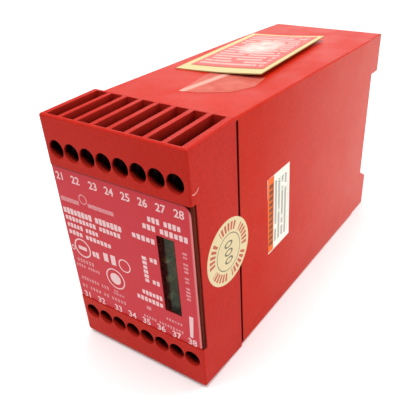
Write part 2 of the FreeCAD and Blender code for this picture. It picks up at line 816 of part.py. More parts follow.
def terminal_block(row, centre, sign):
    """The insulating block of one row: a screw bore and a cage room for each way."""
    half = f"({HALF_WIDTH} - sizes.cover_wall - sizes.seat_gap)"
    inner = "sizes.hole_inset + sizes.band_floor - sizes.band_height + sizes.seat_gap"
    outer = "sizes.hole_inset - sizes.rib_depth - sizes.seat_gap"
    body = block(
        f"{row}_block_body",
        (f"-{half}", half),
        (f"{FRONT} + sizes.block_front", f"{FRONT} + sizes.block_back"),
        outward(centre, sign, inner, outer),
    )
    openings = []
    for way in range(int(number("sizes.way_count"))):
        name = f"{row}_way_{way + 1}"
        at = (way_x(way), centre)
        start = f"{FRONT} + sizes.block_front - sizes.overcut"
        openings += [
            rod(
                f"{name}_head_bore",
                "y",
                WAY_BORE,
                start,
                "sizes.ledge_front - sizes.block_front + sizes.overcut",
                at,
            ),
            rod(
                f"{name}_shank_bore",
                "y",
                "sizes.shank_bore",
                start,
                "sizes.ledge_front - sizes.block_front + sizes.ledge_thick + 2 * sizes.overcut",
                at,
            ),
            block(
                f"{name}_cage_room",
                about(way_x(way), WAY_BORE),
                (
                    f"{FRONT} + sizes.ledge_front + sizes.ledge_thick",
                    f"{FRONT} + sizes.cage_room_back",
                ),
                outward(centre, sign, "-sizes.cage_room_floor", f"{outer} + sizes.overcut"),
            ),
            block(
                f"{name}_bar_outlet",
                about(way_x(way), f"{BAR_WIDTH} + 2 * sizes.seat_gap"),
                (
                    f"{FRONT} + sizes.cage_room_back - sizes.overcut",
                    f"{FRONT} + sizes.block_back + sizes.overcut",
                ),
                outward(
                    centre,
                    sign,
                    "-sizes.cage_room_floor",
                    "sizes.bar_thick + sizes.seat_gap - sizes.bar_drop",
                ),
            ),
        ]
    return cut(f"{row}_terminal_block", body, openings)


def clamp_screw(name, way, centre):
    """A slotted cheese-head screw, made along Z and turned to face the front."""
    head = rod(f"{name}_head", "z", HEAD_SIZE, "0", "sizes.head_height")
    shank = rod(
        f"{name}_shank",
        "z",
        "sizes.thread_size",
        "0",
        "sizes.head_height + sizes.shank_length",
    )
    slot = block(
        f"{name}_slot",
        about("0", f"{HEAD_SIZE} + 2 * sizes.overcut"),
        about("0", "sizes.driver_slot"),
        ("-sizes.overcut", "sizes.driver_slot_depth"),
    )
    node = cut(name, fuse(f"{name}_blank", [head, shank]), [slot])
    node.Placement = FreeCAD.Placement(
        FreeCAD.Vector(), FreeCAD.Rotation(FreeCAD.Vector(1, 0, 0), -90)
    )
    seat = f"{FRONT} + sizes.ledge_front - sizes.seat_gap / 2"
    return place(node, way_x(way), f"{seat} - sizes.head_height", centre)


def clamp_cage(name, way, centre):
    """A bent steel cage with a threaded front wall, open to the wire above and below."""
    outer = block(
        f"{name}_strip",
        about("0", CAGE_WIDTH),
        ("0", "sizes.cage_length"),
        about("0", "sizes.cage_height"),
    )
    window = block(
        f"{name}_window",
        about("0", f"{CAGE_WIDTH} - 2 * sizes.cage_side"),
        ("sizes.cage_nut", "sizes.cage_length - sizes.cage_back"),
        about("0", "sizes.cage_height + 2 * sizes.overcut"),
    )
    thread = rod(
        f"{name}_thread",
        "y",
        "sizes.thread_size + 2 * sizes.thread_play",
        "-sizes.overcut",
        "sizes.cage_nut + 2 * sizes.overcut",
    )
    node = cut(name, outer, [window, thread])
    return place(node, way_x(way), f"{FRONT} + sizes.cage_front", centre)


def terminal_bars(row, centre, sign):
    """The bent copper bars of one row, from inside the cages back through the board."""
    bars = []
    for way in range(int(number("sizes.way_count"))):
        name = f"{row}_bar_{way + 1}"
        across = about(way_x(way), BAR_WIDTH)
        front = f"{FRONT} + sizes.bar_front"
        upright = block(
            f"{name}_upright",
            across,
            (front, f"{front} + sizes.bar_thick"),
            outward(centre, sign, "-sizes.bar_drop", "sizes.bar_reach"),
        )
        tail = block(
            f"{name}_tail",
            across,
            (front, f"{FRONT} + sizes.bar_end"),
            outward(centre, sign, "-sizes.bar_drop", "sizes.bar_thick - sizes.bar_drop"),
        )
        bars.append(fuse(name, [upright, tail]))
    return group(f"{row}_terminal_bars", bars)


# ---------------------------------------------------------------------- boards


def terminal_board():
    """The board right behind the terminals, with a hole for each bar."""
    half = f"({ROOM_HALF} - sizes.board_edge)"
    plate = block(
        "terminal_board_plate",
        (f"-{half}", half),
        (BOARD_FRONT, BOARD_BACK),
        (f"{ROOM_LOW} + sizes.board_edge", f"{ROOM_HIGH} - sizes.board_edge"),
    )
    holes = []
    for row, centre, sign in ROWS:
        for way in range(int(number("sizes.way_count"))):
            holes.append(
                block(
                    f"terminal_board_{row}_hole_{way + 1}",
                    about(way_x(way), f"{BAR_WIDTH} + 2 * sizes.seat_gap"),
                    (f"{BOARD_FRONT} - sizes.overcut", f"{BOARD_BACK} + sizes.overcut"),
                    outward(
                        centre,
                        sign,
                        "-sizes.bar_drop - sizes.seat_gap",
                        "sizes.bar_thick + sizes.seat_gap - sizes.bar_drop",
                    ),
                )
            )
    return cut("terminal_board", plate, holes)


def side_board(name, low_side):
    """A board that stands on edge between its guide ribs."""
    return block(
        name,
        (low_side, f"{low_side} + sizes.board_thick"),
        (SIDE_FRONT, SIDE_BACK),
        (f"{ROOM_LOW} + sizes.board_edge", f"{ROOM_HIGH} - sizes.board_edge"),
    )


def display_board():
    """The small board behind the window."""
    right = f"({HALF_WIDTH} - sizes.cover_wall - sizes.display_side)"
    return block(
        "display_board",
        (f"{right} - sizes.display_width", right),
        (DISPLAY_FRONT, DISPLAY_BACK),
        (f"{RECESS_LOW} + sizes.display_below", f"{RECESS_HIGH} - sizes.display_above"),
    )


def status_lamps():
    """The round light-emitting diodes that show through the window."""
    lamps = []
    across = f"({HALF_WIDTH} - sizes.lamp_side)"
    for lamp in range(int(number("sizes.lamp_count"))):
        name = f"status_lamp_{lamp + 1}"
        height = f"({MIDDLE} - sizes.lamp_below + {lamp} * sizes.lamp_pitch)"
        dome_y = f"{DISPLAY_FRONT} - sizes.lamp_length + sizes.lamp_size / 2"
        barrel = rod(
            f"{name}_barrel",
            "y",
            "sizes.lamp_size",
            dome_y,
            "sizes.lamp_length - sizes.lamp_size / 2",
            (across, height),
        )
        dome = doc.addObject("Part::Sphere", f"{name}_dome")
        dome.setExpression("Radius", "sizes.lamp_size / 2")
        place(dome, across, dome_y, height)
        lamps.append(fuse(name, [barrel, dome]))
    return group("status_lamps", lamps)


def pin_header(name, across, along, up_middle):
    """A plastic strip with a row of square pins that runs between two boards."""
    strip = block(f"{name}_strip", across, along[1], about(up_middle, "sizes.header_height"))
    middle = f"(({across[0]}) + ({across[1]})) / 2"
    pins = []
    for pin in range(int(number("sizes.header_pins"))):
        height = f"{up_middle} + ({pin} - (sizes.header_pins - 1) / 2) * sizes.header_pitch"
        pins.append(
            block(
                f"{name}_pin_{pin + 1}",
                about(middle, "sizes.header_pin"),
                along[0],
                about(height, "sizes.header_pin"),
            )
        )
    return fuse(name, [strip, *pins])


def board_headers():
    """The strips that join the terminal board to the display and to the side boards."""
    display = pin_header(
        "display_header",
        about(WINDOW_X, "sizes.header_width"),
        ((DISPLAY_BACK, BOARD_FRONT), (f"{BOARD_FRONT} - sizes.header_width", BOARD_FRONT)),
        MIDDLE,
    )
    sides = []
    for name, board in (("relay", RELAY_BOARD), ("supply", SUPPLY_BOARD)):
        across = (f"{board} - sizes.header_width", board)
        along = (BOARD_BACK, f"{BOARD_BACK} + 2 * sizes.header_width")
        strip = (f"{SIDE_FRONT} + sizes.seat_gap", along[1])
        sides.append(pin_header(f"{name}_header", across, ((BOARD_BACK, strip[1]), strip), MIDDLE))
    return group("board_headers", [display, *sides])


def relay(name, low):
    """A sealed safety relay on the relay board."""
    case = block(
        f"{name}_case",
        (f"{RELAY_BOARD} - sizes.relay_width", RELAY_BOARD),
        (f"{FRONT} + sizes.relay_front", f"{FRONT} + sizes.relay_front + sizes.relay_length"),
        (low, f"{low} + sizes.relay_height"),
    )
    node = doc.addObject("Part::Chamfer", name)
    doc.recompute()
    node.Base = case
    top = number(f"{RELAY_BOARD} - sizes.relay_width")
    size = number("sizes.edge_round")
    picked = []
    for index, edge in enumerate(case.Shape.Edges, 1):
        box = edge.BoundBox
        if abs(box.XMin - top) < size / 2 and abs(box.XMax - top) < size / 2:
            picked.append((index, size, size))
    node.Edges = picked
    return node


def transformer():
    """The supply transformer: a laminated core with its wound bobbin."""
    board = SUPPLY_BOARD
    front = f"({FRONT} + sizes.core_front)"
    back = f"({front} + sizes.core_length)"
    low, high = about(MIDDLE, "sizes.core_height")
    core = block(
        "transformer_core",
        (f"{board} - sizes.core_width", board),
        (front, back),
        (low, high),
    )
    bobbin = block(
        "transformer_bobbin",
        (
            f"{board} - sizes.core_width + sizes.bobbin_margin",
            f"{board} - sizes.bobbin_margin",
        ),
        (f"{front} + 2 * sizes.bobbin_margin", f"{back} - 2 * sizes.bobbin_margin"),
        (f"{low} - sizes.bobbin_proud", f"{high} + sizes.bobbin_proud"),
    )
    return fuse("transformer", [core, bobbin])


def smoothing_capacitors():
    """The electrolytic cans that stand on the supply board."""
    cans = []
    for index in range(int(number("sizes.capacitor_count"))):
        cans.append(
            rod(
                f"capacitor_{index + 1}",
                "x",
                "sizes.capacitor_size",
                f"{SUPPLY_BOARD} - sizes.capacitor_length",
                "sizes.capacitor_length",
                (
                    f"{SIDE_BACK} - sizes.capacitor_end",
                    f"{MIDDLE} + ({index} - (sizes.capacitor_count - 1) / 2) * sizes.capacitor_spacing",
                ),
            )
        )
    return group("smoothing_capacitors", cans)


def surge_varistor():
    """The disc that limits surges on the supply."""
    return rod(
        "surge_varistor",
        "x",
        "sizes.varistor_size",
        f"{SUPPLY_BOARD} - sizes.varistor_thick",
        "sizes.varistor_thick",
        (f"{SIDE_BACK} - sizes.varistor_end", f"{MIDDLE} - sizes.varistor_drop"),
    )


def supply_fuse():
    """A tube fuse upright against the supply board, with its end caps."""
    at = (
        f"{SUPPLY_BOARD} - sizes.fuse_size / 2 - sizes.fuse_cap_proud",
        f"{SIDE_BACK} - sizes.fuse_end",
    )
    low = f"({MIDDLE} - sizes.fuse_drop)"
    tube = rod("fuse_tube", "z", "sizes.fuse_size", low, "sizes.fuse_length", at)
    cap_size = "sizes.fuse_size + 2 * sizes.fuse_cap_proud"
    low_cap = rod("fuse_low_cap", "z", cap_size, low, "sizes.fuse_cap", at)
    high_cap = rod(
        "fuse_high_cap",
        "z",
        cap_size,
        f"{low} + sizes.fuse_length - sizes.fuse_cap",
        "sizes.fuse_cap",
        at,
    )
    return fuse("supply_fuse", [tube, low_cap, high_cap])


# ---------------------------------------------------------- labels and stickers


def side_label():
    """A plain rating label on the right side of the housing."""
    low = f"({MIDDLE} - sizes.side_label_drop)"
    label = block(
        "side_label",
        (HOUSING_HALF, f"{HOUSING_HALF} + sizes.sticker_thick"),
        (
            f"{FRONT} + sizes.side_label_front",
            f"{FRONT} + sizes.side_label_front + sizes.side_label_width",
        ),
        (low, f"{low} + sizes.side_label_height"),
    )
    label.Placement.Rotation = FreeCAD.Rotation(FreeCAD.Vector(1, 0, 0), number("sizes.side_label_turn"))
    label.setExpression("Placement.Rotation.Angle", "sizes.side_label_turn")
    return label


def round_seal():
    """A round seal stuck across the seam."""
    return rod(
        "round_seal",
        "x",
        "sizes.seal_size",
        HALF_WIDTH,
        "sizes.sticker_thick",
        (f"{FRONT} + sizes.seal_y", f"{MIDDLE} + sizes.seal_rise"),
    )


def curled_sheet(name, width, length, thick, left_border, front_border, base):
    """A thin sheet on the roof whose right edge curls up, turned a little about Z."""
    whole = number("sizes.backing_width")
    lift = number("sizes.spare_lift")
    radius = (whole ** 2 + lift ** 2) / (2 * lift)
    left = -whole / 2 + left_border
    right = left + width

    def edge(rise):
        """The curled line of the sheet's lower or upper face."""
        spots = []
        for across in (left, (left + right) / 2, right):
            height = radius - (radius ** 2 - (across + whole / 2) ** 2) ** 0.5
            spots.append(FreeCAD.Vector(across, 0, height + rise))
        return Part.Arc(*spots).toShape()

    lower = edge(0)
    upper = edge(thick)
    left_end, right_end = (
        Part.makeLine(lower.Vertexes[index].Point, upper.Vertexes[index].Point) for index in (0, -1)
    )
    outline = Part.Wire(Part.__sortEdges__([lower, right_end, upper, left_end]))
    node = doc.addObject("Part::Feature", name)
    node.Shape = Part.Face(outline).extrude(FreeCAD.Vector(0, length, 0))
    turn = FreeCAD.Rotation(FreeCAD.Vector(0, 0, 1), number("sizes.spare_turn"))
    start = FreeCAD.Vector(
        number("sizes.spare_x"),
        number(f"{FRONT} + sizes.spare_front"),
        number(HOUSING_HIGH) + base,
    )
    node.Placement = FreeCAD.Placement(start + turn.multVec(FreeCAD.Vector(0, front_border, 0)), turn)
    return node


def spare_label_backing():
    """The cream backing sheet of the spare label."""
    return curled_sheet(
        "spare_label_backing",
        number("sizes.backing_width"),
        number("sizes.backing_length"),
        number("sizes.backing_thick"),
        0.0,
        0.0,
        0.0,
    )


def spare_label():
    """The red label on its backing."""
    return curled_sheet(
        "spare_label",
        number("sizes.spare_width"),
        number("sizes.spare_length"),
        number("sizes.paper_thick"),
        number("sizes.spare_left_border"),
        number("sizes.spare_front_border"),
        number("sizes.backing_thick"),
    )


def clear_tape():
    """The torn film of clear tape on the roof, in front of the spare label."""
    body = doc.addObject("PartDesign::Body", "clear_tape")
    left, right = about("sizes.tape_x", "sizes.tape_width")
    front = f"{FRONT} + sizes.tape_front"
    torn = f"{left} + sizes.tape_skew"
    outline = polygon(
        sketch_on(body, "TapeOutline", "XY_Plane", HOUSING_HIGH),
        (
            (torn, front),
            (f"{torn} + sizes.tape_step", f"{front} + sizes.tape_dip"),
            (f"{right} - sizes.tape_skew", f"{front} + sizes.tape_step"),
            (right, f"{front} + sizes.tape_chamfer"),
            (f"{right} - sizes.tape_skew / 2", f"{front} + sizes.tape_length"),
            (left, f"{front} + sizes.tape_length"),
        ),
    )
    pad(body, "Tape", outline, "sizes.sticker_thick")
    return body


# -------------------------------------------------------------------- assembly

pieces = [
    front_cover(),
    rear_housing(),
    front_plate(),
    front_label(),
    latch_foot(),
    latch_spring(),
    terminal_board(),
    side_board("relay_board", RELAY_BOARD),
    side_board("supply_board", SUPPLY_BOARD),
    display_board(),
    status_lamps(),
    board_headers(),
    relay("relay_k1", f"({MIDDLE} + sizes.relay_spacing / 2)"),
    relay("relay_k2", f"({MIDDLE} - sizes.relay_spacing / 2 - sizes.relay_height)"),
    transformer(),
    smoothing_capacitors(),
    surge_varistor(),
    supply_fuse(),
    side_label(),
    round_seal(),
    spare_label_backing(),
    spare_label(),
    clear_tape(),
]
for row, centre, sign in ROWS:
    pieces.append(terminal_block(row, centre, sign))
    pieces.append(terminal_bars(row, centre, sign))
    for way in range(int(number("sizes.way_count"))):
        pieces.append(clamp_screw(f"{row}_screw_{way + 1}", way, centre))
        pieces.append(clamp_cage(f"{row}_cage_{way + 1}", way, centre))
doc.recompute()

for item in doc.Objects:
    if "Invalid" in item.State or "Error" in item.State:
        raise RuntimeError(f"{item.Label} failed: {item.State}")
for piece in pieces:
    if piece.Shape.isNull() or not piece.Shape.isValid() or not piece.Shape.Solids:
        raise RuntimeError(f"{piece.Label} has no valid shape")

os.makedirs("parts", exist_ok=True)
for piece in pieces:
    piece.Shape.exportStep(f"parts/{piece.Label}.step")
    print(f"{piece.Label}: {len(piece.Shape.Solids)} solids, {piece.Shape.Volume:.1f} mm3")
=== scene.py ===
import bpy
import bmesh
import math
from mathutils import Matrix, Vector


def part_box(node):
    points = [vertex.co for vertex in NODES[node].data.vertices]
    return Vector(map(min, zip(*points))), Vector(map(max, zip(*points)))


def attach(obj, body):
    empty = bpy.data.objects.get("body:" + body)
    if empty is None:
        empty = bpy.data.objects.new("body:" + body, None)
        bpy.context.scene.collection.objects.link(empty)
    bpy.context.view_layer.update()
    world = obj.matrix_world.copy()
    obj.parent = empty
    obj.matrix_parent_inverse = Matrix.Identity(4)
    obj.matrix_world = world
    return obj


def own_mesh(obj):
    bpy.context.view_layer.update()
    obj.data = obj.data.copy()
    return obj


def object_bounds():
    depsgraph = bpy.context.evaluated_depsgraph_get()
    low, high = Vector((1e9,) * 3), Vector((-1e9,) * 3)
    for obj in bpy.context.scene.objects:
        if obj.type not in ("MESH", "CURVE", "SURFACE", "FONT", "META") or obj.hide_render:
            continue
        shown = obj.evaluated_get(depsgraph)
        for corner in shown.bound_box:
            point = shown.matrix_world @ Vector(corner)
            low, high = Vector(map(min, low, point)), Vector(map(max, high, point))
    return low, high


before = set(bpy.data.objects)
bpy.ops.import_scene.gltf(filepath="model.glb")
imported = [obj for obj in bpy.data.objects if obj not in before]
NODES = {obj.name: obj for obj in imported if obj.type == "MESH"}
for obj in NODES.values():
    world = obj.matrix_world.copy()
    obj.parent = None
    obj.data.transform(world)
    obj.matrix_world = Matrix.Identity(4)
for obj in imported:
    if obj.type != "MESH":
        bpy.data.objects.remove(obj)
cad_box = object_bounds()

MM = 0.001

# places taken from the frame, in metres
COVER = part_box("front_cover")
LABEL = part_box("front_label")
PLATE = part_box("front_plate")
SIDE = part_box("side_label")
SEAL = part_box("round_seal")
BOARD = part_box("display_board")
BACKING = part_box("spare_label_backing")
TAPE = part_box("clear_tape")

SIDE_WALL = 1.3  # mm of the cover's side walls that no hole or slot reaches
SPARE_TURN = math.radians(4.9)  # the spare label lies askew by this much


# ------------------------------------------------------------------ shader kit


def srgb(red, green, blue):
    """A colour as it is seen on a screen, 0 to 255, as linear values."""
    values = []
    for value in (red, green, blue):
        value /= 255
        values.append(value / 12.92 if value <= 0.04045 else ((value + 0.055) / 1.055) ** 2.4)
    return (*values, 1.0)


def darker(colour, share):
    """A linear colour with only a share of its light."""
    return tuple(share * value for value in colour[:3]) + (1.0,)


class Shader:
    """A small helper that builds one material's node tree."""

    def __init__(self, name):
        self.material = bpy.data.materials.new(name)
        self.material.use_nodes = True
        self.tree = self.material.node_tree
        self.tree.nodes.clear()
        self.output = self.tree.nodes.new("ShaderNodeOutputMaterial")
        self.spot = None
        self.parts = None

    def feed(self, socket, value):
        """Link a socket to an input, or write a plain value into it."""
        if value is None:
            return
        if isinstance(value, bpy.types.NodeSocket):
            self.tree.links.new(value, socket)
        else:
            socket.default_value = value

    def node(self, kind, settings=None, **inputs):
        """A new node; an underscore in an input's name stands for a space."""
        node = self.tree.nodes.new(kind)
        for key, value in (settings or {}).items():
            setattr(node, key, value)
        for key, value in inputs.items():
            self.feed(node.inputs[key.replace("_", " ")], value)
        return node

    def math(self, operation, *values):
        """One sum, product, comparison or the like."""
        node = self.node("ShaderNodeMath", {"operation": operation})
        for socket, value in zip(node.inputs, values):
            self.feed(socket, value)
        return node.outputs[0]

    def apart(self, first, second):
        """How far two values lie apart."""
        return self.math("ABSOLUTE", self.math("SUBTRACT", first, second))

    def length(self, first, second):
        """The length of a flat vector with these two parts."""
        squares = [self.math("MULTIPLY", part, part) for part in (first, second)]
        return self.math("SQRT", self.math("ADD", *squares))

    def place(self):
        """The point on the object in millimetres, as a vector."""
        if self.spot is None:
            scaled = self.node("ShaderNodeVectorMath", {"operation": "SCALE"})
            self.feed(scaled.inputs[0], self.node("ShaderNodeTexCoord").outputs["Object"])
            scaled.inputs["Scale"].default_value = 1 / MM
            self.spot = scaled.outputs[0]
            self.parts = self.node("ShaderNodeSeparateXYZ", Vector=self.spot).outputs
        return self.spot

    def axes(self, letters="XYZ"):
        """The point's coordinates in millimetres along the axes that the letters name."""
        self.place()
        return [self.parts[letter] for letter in letters]

    def turned(self, angle, centre):
        """The place turned about Z round a centre, in millimetres, as a vector."""
        node = self.node("ShaderNodeMapping", {"vector_type": "POINT"}, Vector=self.place())
        turn = Matrix.Rotation(-angle, 3, "Z")
        node.inputs["Rotation"].default_value = (0, 0, -angle)
        node.inputs["Location"].default_value = -(turn @ Vector(centre))
        return node.outputs[0]

    def noise(self, scale, detail=2.0, roughness=0.5, stretch=None):
        """Noise from 0 to 1 with features about 1/scale millimetres across."""
        vector = self.place()
        if stretch:
            vector = self.node("ShaderNodeMapping", Vector=vector, Scale=stretch).outputs[0]
        node = self.node(
            "ShaderNodeTexNoise", Vector=vector, Scale=scale, Detail=detail, Roughness=roughness
        )
        return node.outputs[0]

    def ramp(self, value, low, high, start=0.0, end=1.0):
        """A value stretched from one span to another and clamped."""
        node = self.tree.nodes.new("ShaderNodeMapRange")
        keys = ("Value", "From Min", "From Max", "To Min", "To Max")
        for key, part in zip(keys, (value, low, high, start, end)):
            self.feed(node.inputs[key], part)
        return node.outputs[0]

    def between(self, value, low, high):
        """1 where a value lies between two limits."""
        above = self.math("GREATER_THAN", value, low)
        below = self.math("LESS_THAN", value, high)
        return self.math("MULTIPLY", above, below)

    def both(self, *masks):
        """1 where every mask is 1."""
        result = masks[0]
        for mask in masks[1:]:
            result = self.math("MULTIPLY", result, mask)
        return result

    def either(self, *masks):
        """1 where any mask is 1."""
        result = masks[0]
        for mask in masks[1:]:
            result = self.math("MAXIMUM", result, mask)
        return result

    def mix(self, factor, first, second):
        """Two colours mixed."""
        node = self.node("ShaderNodeMix", {"data_type": "RGBA"})
        # the mix node's colour sockets are known by their numbers alone
        for socket, value in ((0, factor), (6, first), (7, second)):
            self.feed(node.inputs[socket], value)
        return node.outputs[2]

    def blend(self, factor, first, second):
        """Two surfaces mixed."""
        node = self.node("ShaderNodeMixShader", Fac=factor)
        self.feed(node.inputs[1], first)
        self.feed(node.inputs[2], second)
        return node.outputs[0]

    def soft_edges(self, radius):
        """The surface direction with its sharp edges rounded off."""
        return self.node("ShaderNodeBevel", {"samples": 6}, Radius=radius).outputs[0]

    def edge_mask(self, rounded):
        """Near 1 on sharp edges and 0 on flat faces."""
        dot = self.node("ShaderNodeVectorMath", {"operation": "DOT_PRODUCT"})
        self.feed(dot.inputs[0], self.node("ShaderNodeNewGeometry").outputs["Normal"])
        self.feed(dot.inputs[1], rounded)
        return self.ramp(dot.outputs["Value"], 1.0, 0.86)

    def bump(self, height, strength, distance, normal=None):
        """A surface direction with a relief on it."""
        node = self.node("ShaderNodeBump", Height=height, Strength=strength, Distance=distance)
        self.feed(node.inputs["Normal"], normal)
        return node.outputs[0]

    def principled(self, **inputs):
        """The material's own surface."""
        node = self.node("ShaderNodeBsdfPrincipled", **inputs)
        self.tree.links.new(node.outputs[0], self.output.inputs["Surface"])
        return node

    def finish(self, shader):
        """The finished material, with this surface on it."""
        self.tree.links.new(shader, self.output.inputs["Surface"])
        return self.material


def dress(material, *names):
    """Give a material to CAD nodes."""
    for name in names:
        piece = NODES[name]
        if piece.material_slots:
            for slot in piece.material_slots:
                slot.material = material
        else:
            piece.data.materials.append(material)


# ------------------------------------------------------- masks on the mouldings

PAINTED_SHADE = (0.002, 0.0004, 0.0004, 1)  # painted shade of deep places
NICK_HEIGHT = 60.2  # mm above the cover's lower edge


def driver_bores(s):
    """Painted shade, near 1 deep in the driver holes, whose lower walls stay bright for longer."""
    x, y, z = s.axes()
    depth = s.math("SUBTRACT", y, COVER[0].y / MM)
    masks = []
    for row in ("upper_screw_1", "lower_screw_1"):
        low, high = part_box(row)
        rise = s.math("SUBTRACT", z, (low.z + high.z) / 2 / MM)
        band = s.ramp(s.math("ABSOLUTE", rise), 2.6, 3.4, 1.0, 0.0)
        reach = s.ramp(rise, -0.2, -2.4, 0.7, 4.2)
        dark = s.ramp(s.math("DIVIDE", depth, reach), 0.1, 1.0, 0.0, 0.96)
        masks.append(s.both(band, dark))
    inside = s.math("LESS_THAN", s.math("ABSOLUTE", x), COVER[1].x / MM - SIDE_WALL)
    return s.both(s.either(*masks), inside)


def seam_groove(s):
    """Painted shade, near 1 on the floor and walls of the groove down each side of the seam."""
    x, y, z = s.axes()
    middle = COVER[1].y / MM + 0.6
    return s.both(
        s.ramp(s.apart(y, middle), 0.8, 0.65, 0.0, 0.8),
        s.math("GREATER_THAN", s.math("ABSOLUTE", x), COVER[1].x / MM - 1.6),
        s.between(z, COVER[0].z / MM + 1.1, COVER[1].z / MM - 1.1),
    )


def slot_depths(s):
    """Painted shade, darker towards the bottom of the wire slots, above and below."""
    x, y, z = s.axes()
    middle = (COVER[0].z + COVER[1].z) / 2 / MM
    half = (COVER[1].z - COVER[0].z) / 2 / MM
    deep = s.math("SUBTRACT", half, s.apart(z, middle))
    inside = s.both(
        s.math("LESS_THAN", s.math("ABSOLUTE", x), COVER[1].x / MM - SIDE_WALL),
        s.between(y, COVER[0].y / MM + 1.2, COVER[1].y / MM - 0.2),
    )
    return s.both(inside, s.ramp(deep, 0.5, 3.2, 0.0, 0.62))


def painted_back_sheen(s):
    """A painted sheen on the sides that grows towards the back."""
    normal = s.node("ShaderNodeNewGeometry").outputs["Normal"]
    facing = s.node("ShaderNodeSeparateXYZ", Vector=normal).outputs["X"]
    side = s.math("GREATER_THAN", s.math("ABSOLUTE", facing), 0.7)
    return s.both(side, s.ramp(s.axes("Y")[0], -30.0, 62.0, 0.0, 0.26))


def nick(s):
    """1 on a short curved nick on the right side, close to the front edge."""
    x, y, z = s.axes()
    across = s.math("SUBTRACT", y, COVER[0].y / MM + 1.4)
    rise = s.math("SUBTRACT", z, COVER[0].z / MM + NICK_HEIGHT)
    curve = s.math("MULTIPLY", s.math("MULTIPLY", across, across), 0.34)
    return s.both(
        s.math("LESS_THAN", s.apart(rise, curve), 0.12),
        s.between(across, -0.7, 1.7),
        s.math("GREATER_THAN", x, COVER[1].x / MM - 0.1),
    )


# ------------------------------------------------------------------- materials


def moulded(name, colour, deep, pale, rough=0.42, nicked=False, hollows=(), sheen_mask=None):
    """Moulded plastic: fine spark texture, faint flow marks, paler edges that are partly wear and
    partly painted highlight, and scuffs; painted shade in hollows and a painted sheen where they are
    given.
    """
    s = Shader(name)
    flow = s.ramp(s.noise(0.035, 3.0), 0.35, 0.65)
    tone = s.mix(s.math("MULTIPLY", flow, 0.35), colour, deep)
    speckle = s.ramp(s.noise(2.6, 2.0, 0.6), 0.54, 0.76, 0.0, 0.12)
    tone = s.mix(speckle, tone, pale)
    mottle = s.ramp(s.noise(1.1, 3.0, 0.75), 0.4, 0.66, 0.0, 0.26)
    tone = s.mix(mottle, tone, darker(deep, 0.55))
    rounded = s.soft_edges(0.22 * MM)
    # paler edges: partly wear, partly a painted highlight along them
    rubbed = s.ramp(s.noise(0.35, 4.0, 0.7), 0.42, 0.7, 0.0, 0.26)
    tone = s.mix(s.math("MULTIPLY", s.edge_mask(rounded), rubbed), tone, pale)
    scuffs = s.noise(0.5, 5.0, 0.65, stretch=(0.25, 0.08, 1.0))
    tone = s.mix(s.ramp(scuffs, 0.68, 0.76, 0.0, 0.16), tone, pale)
    if nicked:
        tone = s.mix(s.math("MULTIPLY", nick(s), 0.7), tone, srgb(240, 205, 195))
    # painted shade: each hollow mask darkens its recess towards near-black
    for hollow in hollows:
        tone = s.mix(hollow(s), tone, PAINTED_SHADE)
    # painted sheen, paler towards the back
    if sheen_mask:
        tone = s.mix(sheen_mask(s), tone, srgb(240, 170, 160))
    relief = s.math("ADD", s.noise(4.5, 2.0, 0.6), s.math("MULTIPLY", s.noise(0.06, 1.0), 2.0))
    s.principled(
        Base_Color=tone,
        Roughness=s.ramp(s.noise(0.12, 4.0), 0.3, 0.7, rough - 0.05, rough + 0.08),
        Specular_IOR_Level=0.05,
        Normal=s.bump(relief, 0.26, 0.05 * MM, rounded),
    )
    return s.material


def metal(name, colour, rough, scale=1.5, marks=(1.0, 1.0, 1.0)):
    """Plated or drawn metal with fine marks and small differences in shine."""
    s = Shader(name)
    streaks = s.noise(scale, 4.0, 0.6, stretch=marks)
    tone = s.ramp(s.noise(0.4, 3.0), 0.3, 0.7, 0.0, 0.35)
    s.principled(
        Base_Color=s.mix(tone, colour, darker(colour, 0.72)),
        Metallic=1.0,
        Roughness=s.ramp(streaks, 0.3, 0.7, rough - 0.06, rough + 0.1),
        Normal=s.bump(streaks, 0.2, 0.03 * MM, s.soft_edges(0.08 * MM)),
    )
    return s.material


def printed_film():
    """The matt red film: grainy ink, a pale right edge that is partly wear and partly painted
    highlight, a painted shadow along its top edge.
    """
    s = Shader("printed_film")
    x, z = s.axes("XZ")
    right, top = LABEL[1].x / MM, LABEL[1].z / MM
    grain = s.ramp(s.noise(3.2, 3.0, 0.7), 0.42, 0.75, 0.0, 0.2)
    tone = s.mix(grain, srgb(206, 42, 54), srgb(220, 90, 98))
    patches = s.ramp(s.noise(0.09, 3.0), 0.4, 0.72, 0.0, 0.35)
    tone = s.mix(patches, tone, srgb(204, 58, 66))
    # pale right edge: partly wear, partly a painted highlight
    edge_wear_and_highlight = s.ramp(x, right - 0.75, right - 0.25)
    tone = s.mix(s.math("MULTIPLY", edge_wear_and_highlight, 0.75), tone, srgb(240, 150, 150))
    rubbed = s.ramp(s.noise(0.8, 5.0, 0.7), 0.68, 0.76, 0.0, 0.3)
    tone = s.mix(rubbed, tone, srgb(236, 170, 170))
    shadow = s.ramp(z, top - 0.5, top - 0.2, 0.0, 0.8)
    tone = s.mix(shadow, tone, srgb(70, 8, 10))
    s.principled(
        Base_Color=tone,
        Roughness=0.5,
        Specular_IOR_Level=0.22,
        Normal=s.bump(s.noise(5.0, 2.0), 0.25, 0.03 * MM, s.soft_edges(0.1 * MM)),
    )
    return s.material


def print_ink(name, colour, thin_colour, scale, thinness):
    """The pale ink of the print, thin enough in places to let some red through."""
    s = Shader(name)
    worn = s.ramp(s.noise(scale, 4.0, 0.7), *thinness)
    s.principled(
        Base_Color=s.mix(worn, colour, thin_colour),
        Roughness=s.ramp(s.noise(1.0), 0.3, 0.7, 0.45, 0.6),
    )
    return s.material


